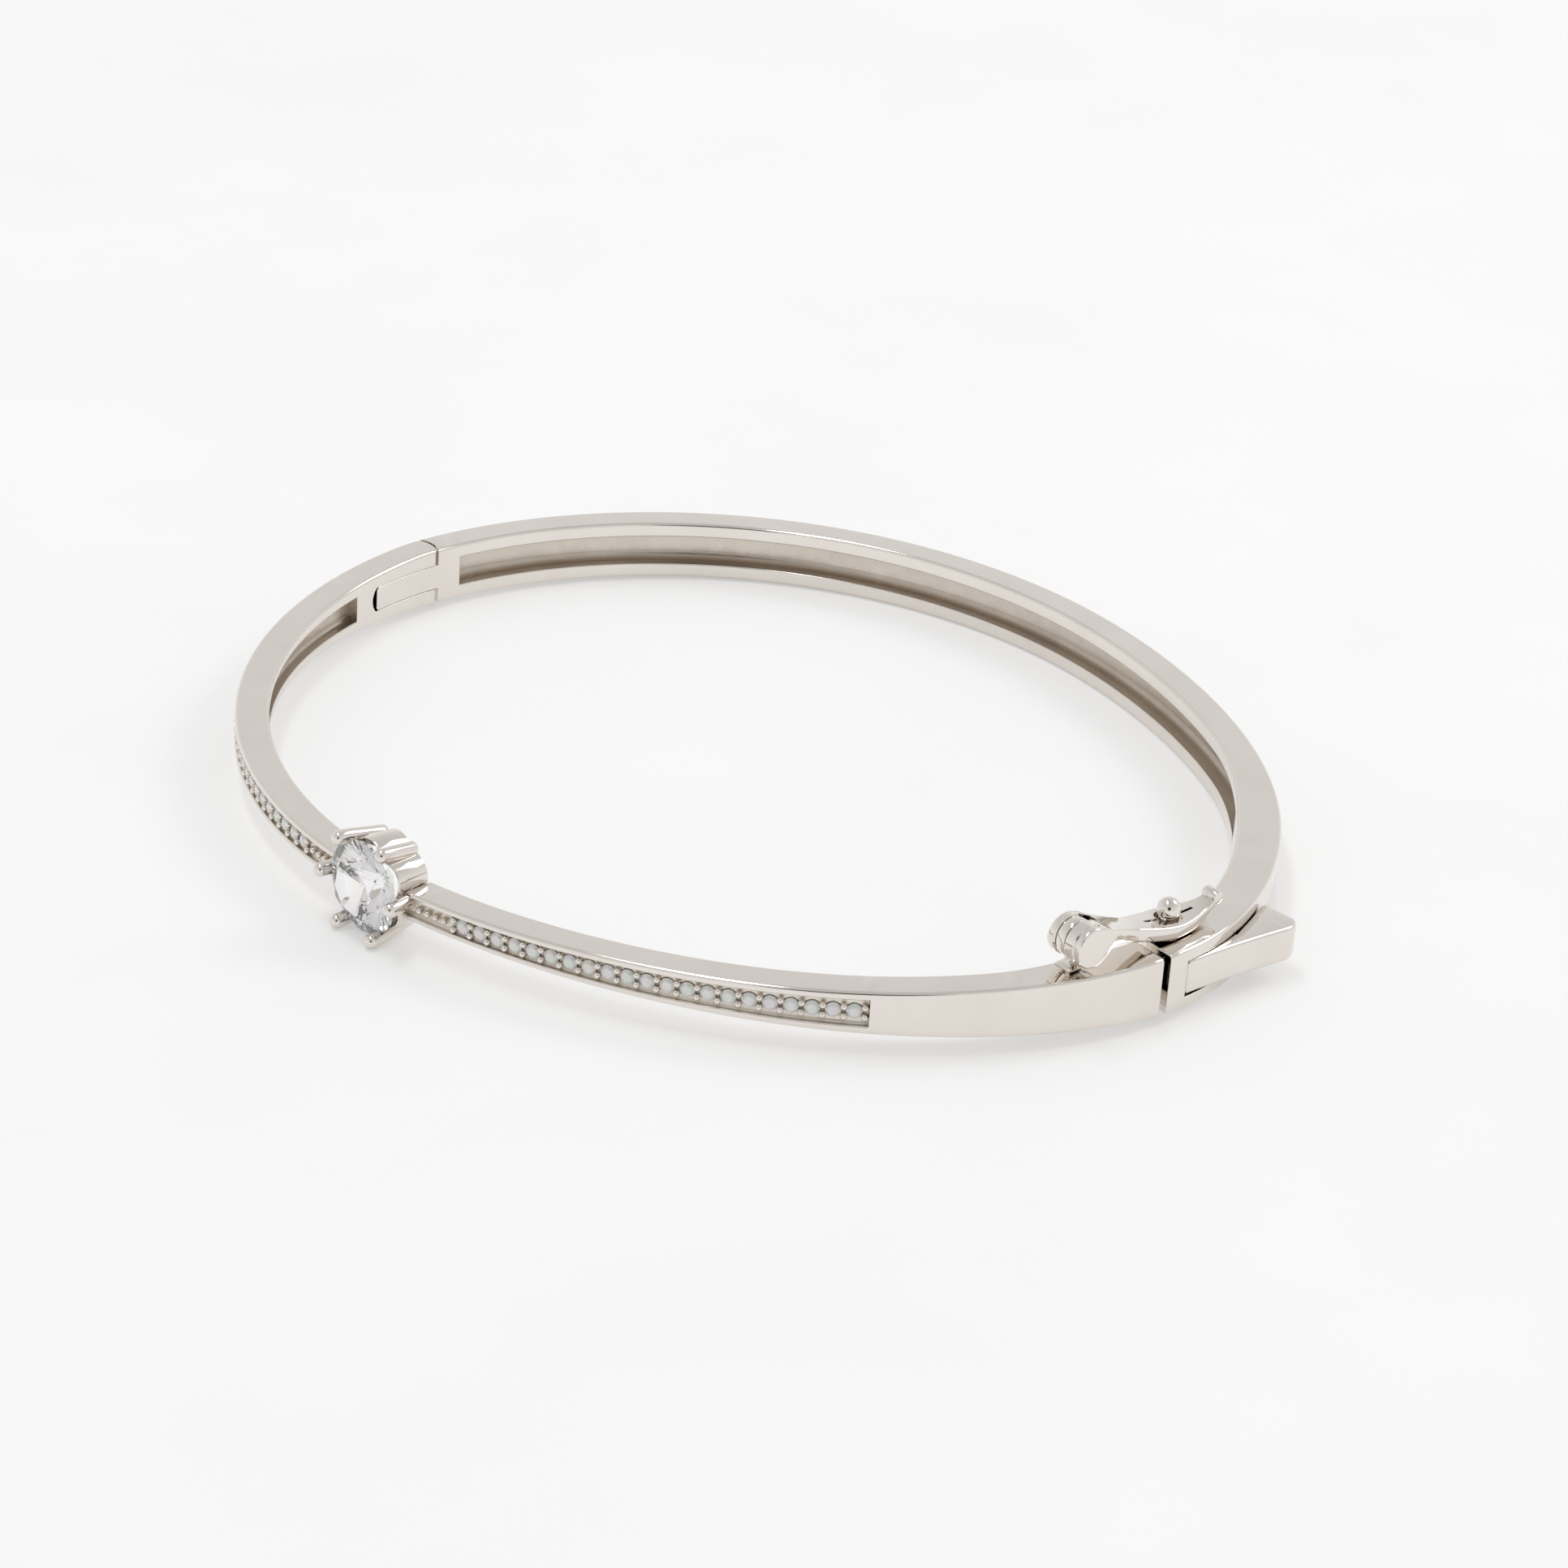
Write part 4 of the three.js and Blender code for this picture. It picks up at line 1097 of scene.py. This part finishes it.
def thumb_lever():
    """The lever: a tapering bar with rounded edges, its hook, and the bore for its pin."""
    root_y = LEVER_PIN_Y - LEVER_ROOT - LEVER_ROOT_GAP
    end_y = LEVER_END_Y - 0.02
    inner_face = lever_inner_face(root_y)
    ys = [root_y + s for s in (0, 0.02, 0.07, 0.17)]
    ys += [lerp(root_y + 0.3, end_y - 1, i / 26) for i in range(27)]
    ys += [end_y - s for s in (0.8, 0.65, 0.5, 0.36, 0.24, 0.15, 0.08, 0.03, 0)]
    rings = []
    for y in ys:
        trim = drawn_in(min(y - root_y, end_y - y), LEVER_EDGE)
        chin = drawn_in(end_y - y, LEVER_CHIN)
        x0 = straight_through(inner_face, y) + trim
        x1 = lever_outer_face(y) - trim
        z0, z1 = -LEVER_HALF_HEIGHT + max(trim, chin), LEVER_HALF_HEIGHT - trim
        corners = rounded_rectangle(x0, x1, z0, z1, LEVER_EDGE, inner=LEVER_INNER_EDGE)
        rings.append([(x, y, z) for x, z in corners])
    lever = temporary(loft(bmesh.new(), rings), "lever")
    combine(lever, [lever_hook()], "UNION")
    radius = LEVER_PIN_RADIUS + PIN_PLAY
    bore = cylinder(bmesh.new(), radius, LEVER_PIN_X, LEVER_PIN_Y, -THROUGH, THROUGH, 32)
    combine(lever, [temporary(bore)])
    return finished(lever, "thumb_lever_body", "lever", ["thumb_lever"])


# ---- safety catch -------------------------------------------------------------------------


def crosswise(profile, sides=56, place=Matrix.Identity(4)):
    """Turns a profile of (radius, x) about the barrel's axis."""
    return turned(bmesh.new(), profile, sides, place @ CROSSWISE)


def barrel(radius, start, end, sides=56, place=Matrix.Identity(4)):
    """A solid barrel with softened rims."""
    r, edge, corner = radius, BARREL_EDGE, BARREL_EDGE * 0.3
    rim = [(r - edge, start), (r - corner, start + corner), (r, start + edge)]
    rim += [(r, end - edge), (r - corner, end - corner), (r - edge, end)]
    return temporary(crosswise([(0, start), *rim, (0, end)], sides, place))


def safety_pin_bore(radius, half):
    """A rod to cut the pin's bore with."""
    return temporary(crosswise([(0, -half), (radius, -half), (radius, half), (0, half)], 32))


def loop_sizes(reach):
    """Top, underside and half width of the loop at a reach from its pivot."""
    disc = math.sqrt(max(SAFETY_END_RADIUS**2 - reach**2, 0.0025))
    if reach <= 0:
        return disc, -disc, SAFETY_HALF_WIDTH
    top, under, half = through(LOOP_STATIONS, reach)
    if reach <= 0.7:
        top = max(disc, top)
    if reach <= 0.9:
        under = -disc
    return top, under, half


def barrel_groove(x, half_width, depth):
    """A V-shaped ring that cuts a line round the loop's barrel, except where its arm leaves."""
    low, high = SAFETY_END_RADIUS - depth, SAFETY_END_RADIUS + 0.02
    edge = ((x - half_width, high), (x, low), (x + half_width, high))
    rings = []
    for degrees in range(48, 313, 6):
        a = math.radians(degrees)
        rings.append([(along, r * math.cos(a), r * math.sin(a)) for along, r in edge])
    return temporary(loft(bmesh.new(), rings))


def safety_loop():
    """The safety loop: its barrel, the eye that snaps over the ball, and its rolled tip."""
    reaches = [-SAFETY_END_RADIUS * math.cos(math.radians(a)) for a in range(4, 90, 6)]
    reaches += [i * 0.12 for i in range(78)]
    rings = []
    for reach in reaches:
        top, under, half = loop_sizes(reach)
        corners = rounded_rectangle(-half, half, under, top, 0.16)
        rings.append([(x, reach, z) for x, z in corners])
    loop = temporary(loft(bmesh.new(), rings), "loop")
    place = Matrix.Translation((0, TIP_REACH, TIP_RISE))
    combine(loop, [barrel(TIP_RADIUS, -TIP_HALF_WIDTH, TIP_HALF_WIDTH, 40, place)], "UNION")

    x0, x1 = KNUCKLE_FROM - KNUCKLE_PLAY, KNUCKLE_TO + KNUCKLE_PLAY
    room = box(bmesh.new(), x0, x1, -2, KNUCKLE_ROOM, -THROUGH, THROUGH)
    eye = cylinder(bmesh.new(), BALL_RADIUS + EYE_CLEARANCE, 0, BALL_REACH, -THROUGH, THROUGH, 64)
    s = EYE_SLOT_HALF
    slot = box(bmesh.new(), -s, s, EYE_SLOT_FROM, EYE_SLOT_TO, -THROUGH, THROUGH)
    bore = safety_pin_bore(SAFETY_PIN_RADIUS + PIN_PLAY, SAFETY_PIN_HALF + PIN_END_PLAY)
    combine(loop, [temporary(room), temporary(eye), temporary(slot), bore])
    combine(loop, [barrel_groove(*groove) for groove in BARREL_GROOVES])
    return finished(loop, "safety_loop_body", "safety", ["safety_loop"], place=SAFETY_FRAME)


def safety_bracket():
    """The knuckle inside the loop's barrel, on a post that flares where it meets the arm."""
    knuckle = barrel(KNUCKLE_RADIUS, KNUCKLE_FROM, KNUCKLE_TO)
    foot_z = SAFETY_FOOT_Z - SAFETY_Z
    middle = (KNUCKLE_FROM + KNUCKLE_TO) / 2
    rings = []
    for rise, grow in (*POST_FLARE, (-0.3 - foot_z, 0)):
        wide = (KNUCKLE_TO - KNUCKLE_FROM) / 2 - 0.05 + grow
        deep = POST_HALF_DEPTH + grow
        corners = rounded_rectangle(middle - wide, middle + wide, -deep, deep, 0.2)
        rings.append([(x, y, foot_z + rise) for x, y in corners])
    combine(knuckle, [temporary(loft(bmesh.new(), rings))], "UNION")
    combine(knuckle, [safety_pin_bore(SAFETY_PIN_RADIUS + PIN_FIT, 2)])
    return finished(
        knuckle,
        "safety_bracket_body",
        "front_half",
        ["safety_bracket"],
        place=SAFETY_FRAME,
    )


def safety_ball():
    """A ball on a waisted neck that flares where it is soldered to the band."""
    bottom = BAND_HEIGHT / 2 - BALL_Z
    neck = [(0, bottom), (0.55, bottom), (0.52, bottom + 0.05), (0.4, bottom + 0.13)]
    neck += [(NECK_RADIUS, bottom + 0.3), (NECK_RADIUS, -0.62)]
    start = -int(math.degrees(math.acos(NECK_RADIUS / BALL_RADIUS)))
    turns = [math.radians(turn) for turn in range(start, 90, 6)]
    sphere = [(BALL_RADIUS * math.cos(turn), BALL_RADIUS * math.sin(turn)) for turn in turns]
    place = SAFETY_FRAME @ Matrix.Translation((0, BALL_REACH, BALL_Z - SAFETY_Z))
    ball = temporary(turned(bmesh.new(), [*neck, *sphere, (0, BALL_RADIUS)], 48))
    return finished(ball, "safety_ball_body", "back_half", ["safety_ball"], smooth=50, place=place)


# ---- everything ---------------------------------------------------------------------------

right_arm()
left_arm()
back_band()
stone_setting()
centre_stone()
pave_stones()
pave_beads("left", -1)
pave_beads("right", 1)
clasp_tongue()
thumb_lever()
safety_loop()
safety_bracket()
safety_ball()

for name, material in (
    ("hinge_pin", pin_silver),
    ("lever_pin", pin_silver),
    ("safety_pin", pin_silver),
    ("lever_spring", spring_steel),
):
    mesh = frame["nodes"][name].data
    mesh.materials.clear()
    mesh.materials.append(material)


# ---- floor, light and camera --------------------------------------------------------------


def floor():
    """White paper that glows a little, as on a light table.

    The bangle stands on it on the setting in front and on the band's edge behind, so the paper
    is tilted a little to touch both.
    """
    material, tree, shader = new_material("paper")
    tone = mixed(tree, mapped(tree, noise(tree, 40), 0, 1), *PAPER_TONES)
    tree.links.new(tone, shader.inputs["Base Color"])
    tree.links.new(tone, shader.inputs["Emission Color"])
    shader.inputs["Emission Strength"].default_value = PAPER_GLOW
    shader.inputs["Roughness"].default_value = 0.7
    shader.inputs["Specular IOR Level"].default_value = 0.15
    bm = bmesh.new()
    bmesh.ops.create_grid(bm, x_segments=8, y_segments=8, size=PAPER_HALF_SIZE)
    mesh = bpy.data.meshes.new("floor")
    bm.to_mesh(mesh)
    bm.free()
    mesh.materials.append(material)
    made = bpy.data.objects.new("floor", mesh)
    bpy.context.scene.collection.objects.link(made)
    band_low, band_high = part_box("back_band")
    front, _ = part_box("stone_setting")
    made.rotation_euler.x = math.atan2(band_low.z - front.z, band_high.y - front.y)
    made.location = (0, front.y, front.z - PAPER_BELOW)


def area_light(name, place, size, power):
    """A soft box that faces the middle of the bangle's frame."""
    light = bpy.data.lights.new(name, "AREA")
    light.shape = "RECTANGLE"
    light.size, light.size_y = size
    light.energy = power
    made = bpy.data.objects.new(name, light)
    made.location = place
    made.rotation_euler = (-Vector(place)).to_track_quat("-Z", "Y").to_euler()
    bpy.context.scene.collection.objects.link(made)


def world():
    """A white tent, dimmer overhead, with the dark opening that the picture is taken through."""
    made = bpy.data.worlds.new("studio")
    bpy.context.scene.world = made
    made.use_nodes = True
    tree = made.node_tree
    place = node(tree, "ShaderNodeTexCoord")
    split = tree.nodes.new("ShaderNodeSeparateXYZ")
    tree.links.new(place.outputs["Generated"], split.inputs["Vector"])
    tent = mixed(tree, mapped(tree, split.outputs["Z"], 0, 1, 0, 1), TENT_WALL, TENT_ROOF)
    towards = node(tree, "ShaderNodeVectorMath", operation="DOT_PRODUCT")
    towards.inputs[1].default_value = OPENING_DIRECTION
    tree.links.new(place.outputs["Generated"], towards.inputs[0])
    nearness = mapped(tree, towards.outputs["Value"], 0, 1, OPENING_OUTSIDE, OPENING_INSIDE)
    tone = mixed(tree, nearness, tent, OPENING_TONE)
    background = tree.nodes["Background"]
    tree.links.new(tone, background.inputs["Color"])
    background.inputs["Strength"].default_value = TENT_STRENGTH


def camera():
    """The camera, placed by its turn round the bangle, its height and its roll."""
    azimuth = math.radians(CAMERA_AZIMUTH)
    elevation = math.radians(CAMERA_ELEVATION)
    roll = math.radians(CAMERA_ROLL)
    back = Vector((
        math.sin(azimuth) * math.cos(elevation),
        -math.cos(azimuth) * math.cos(elevation),
        math.sin(elevation),
    ))
    level = Vector((math.cos(azimuth), math.sin(azimuth), 0))
    upright = back.cross(level)
    right = level * math.cos(roll) + upright * math.sin(roll)
    up = upright * math.cos(roll) - level * math.sin(roll)
    data = bpy.data.cameras.new("camera")
    data.lens = CAMERA_LENS
    data.sensor_width = 36
    data.shift_x, data.shift_y = CAMERA_SHIFT
    data.clip_start, data.clip_end = 0.01, 10
    made = bpy.data.objects.new("camera", data)
    turn = Matrix((right, up, back)).transposed().to_4x4()
    made.matrix_world = Matrix.Translation(FRAME_SHIFT + back * CAMERA_DISTANCE * MM) @ turn
    bpy.context.scene.collection.objects.link(made)
    bpy.context.scene.camera = made


floor()
world()
area_light("window", place=(0.12, 0.32, 0.32), size=(0.16, 0.16), power=0.3)
area_light("strip overhead", place=(-0.07, -0.08, 0.46), size=(0.26, 0.07), power=0.4)
camera()
bpy.context.scene.view_settings.view_transform = "Standard"
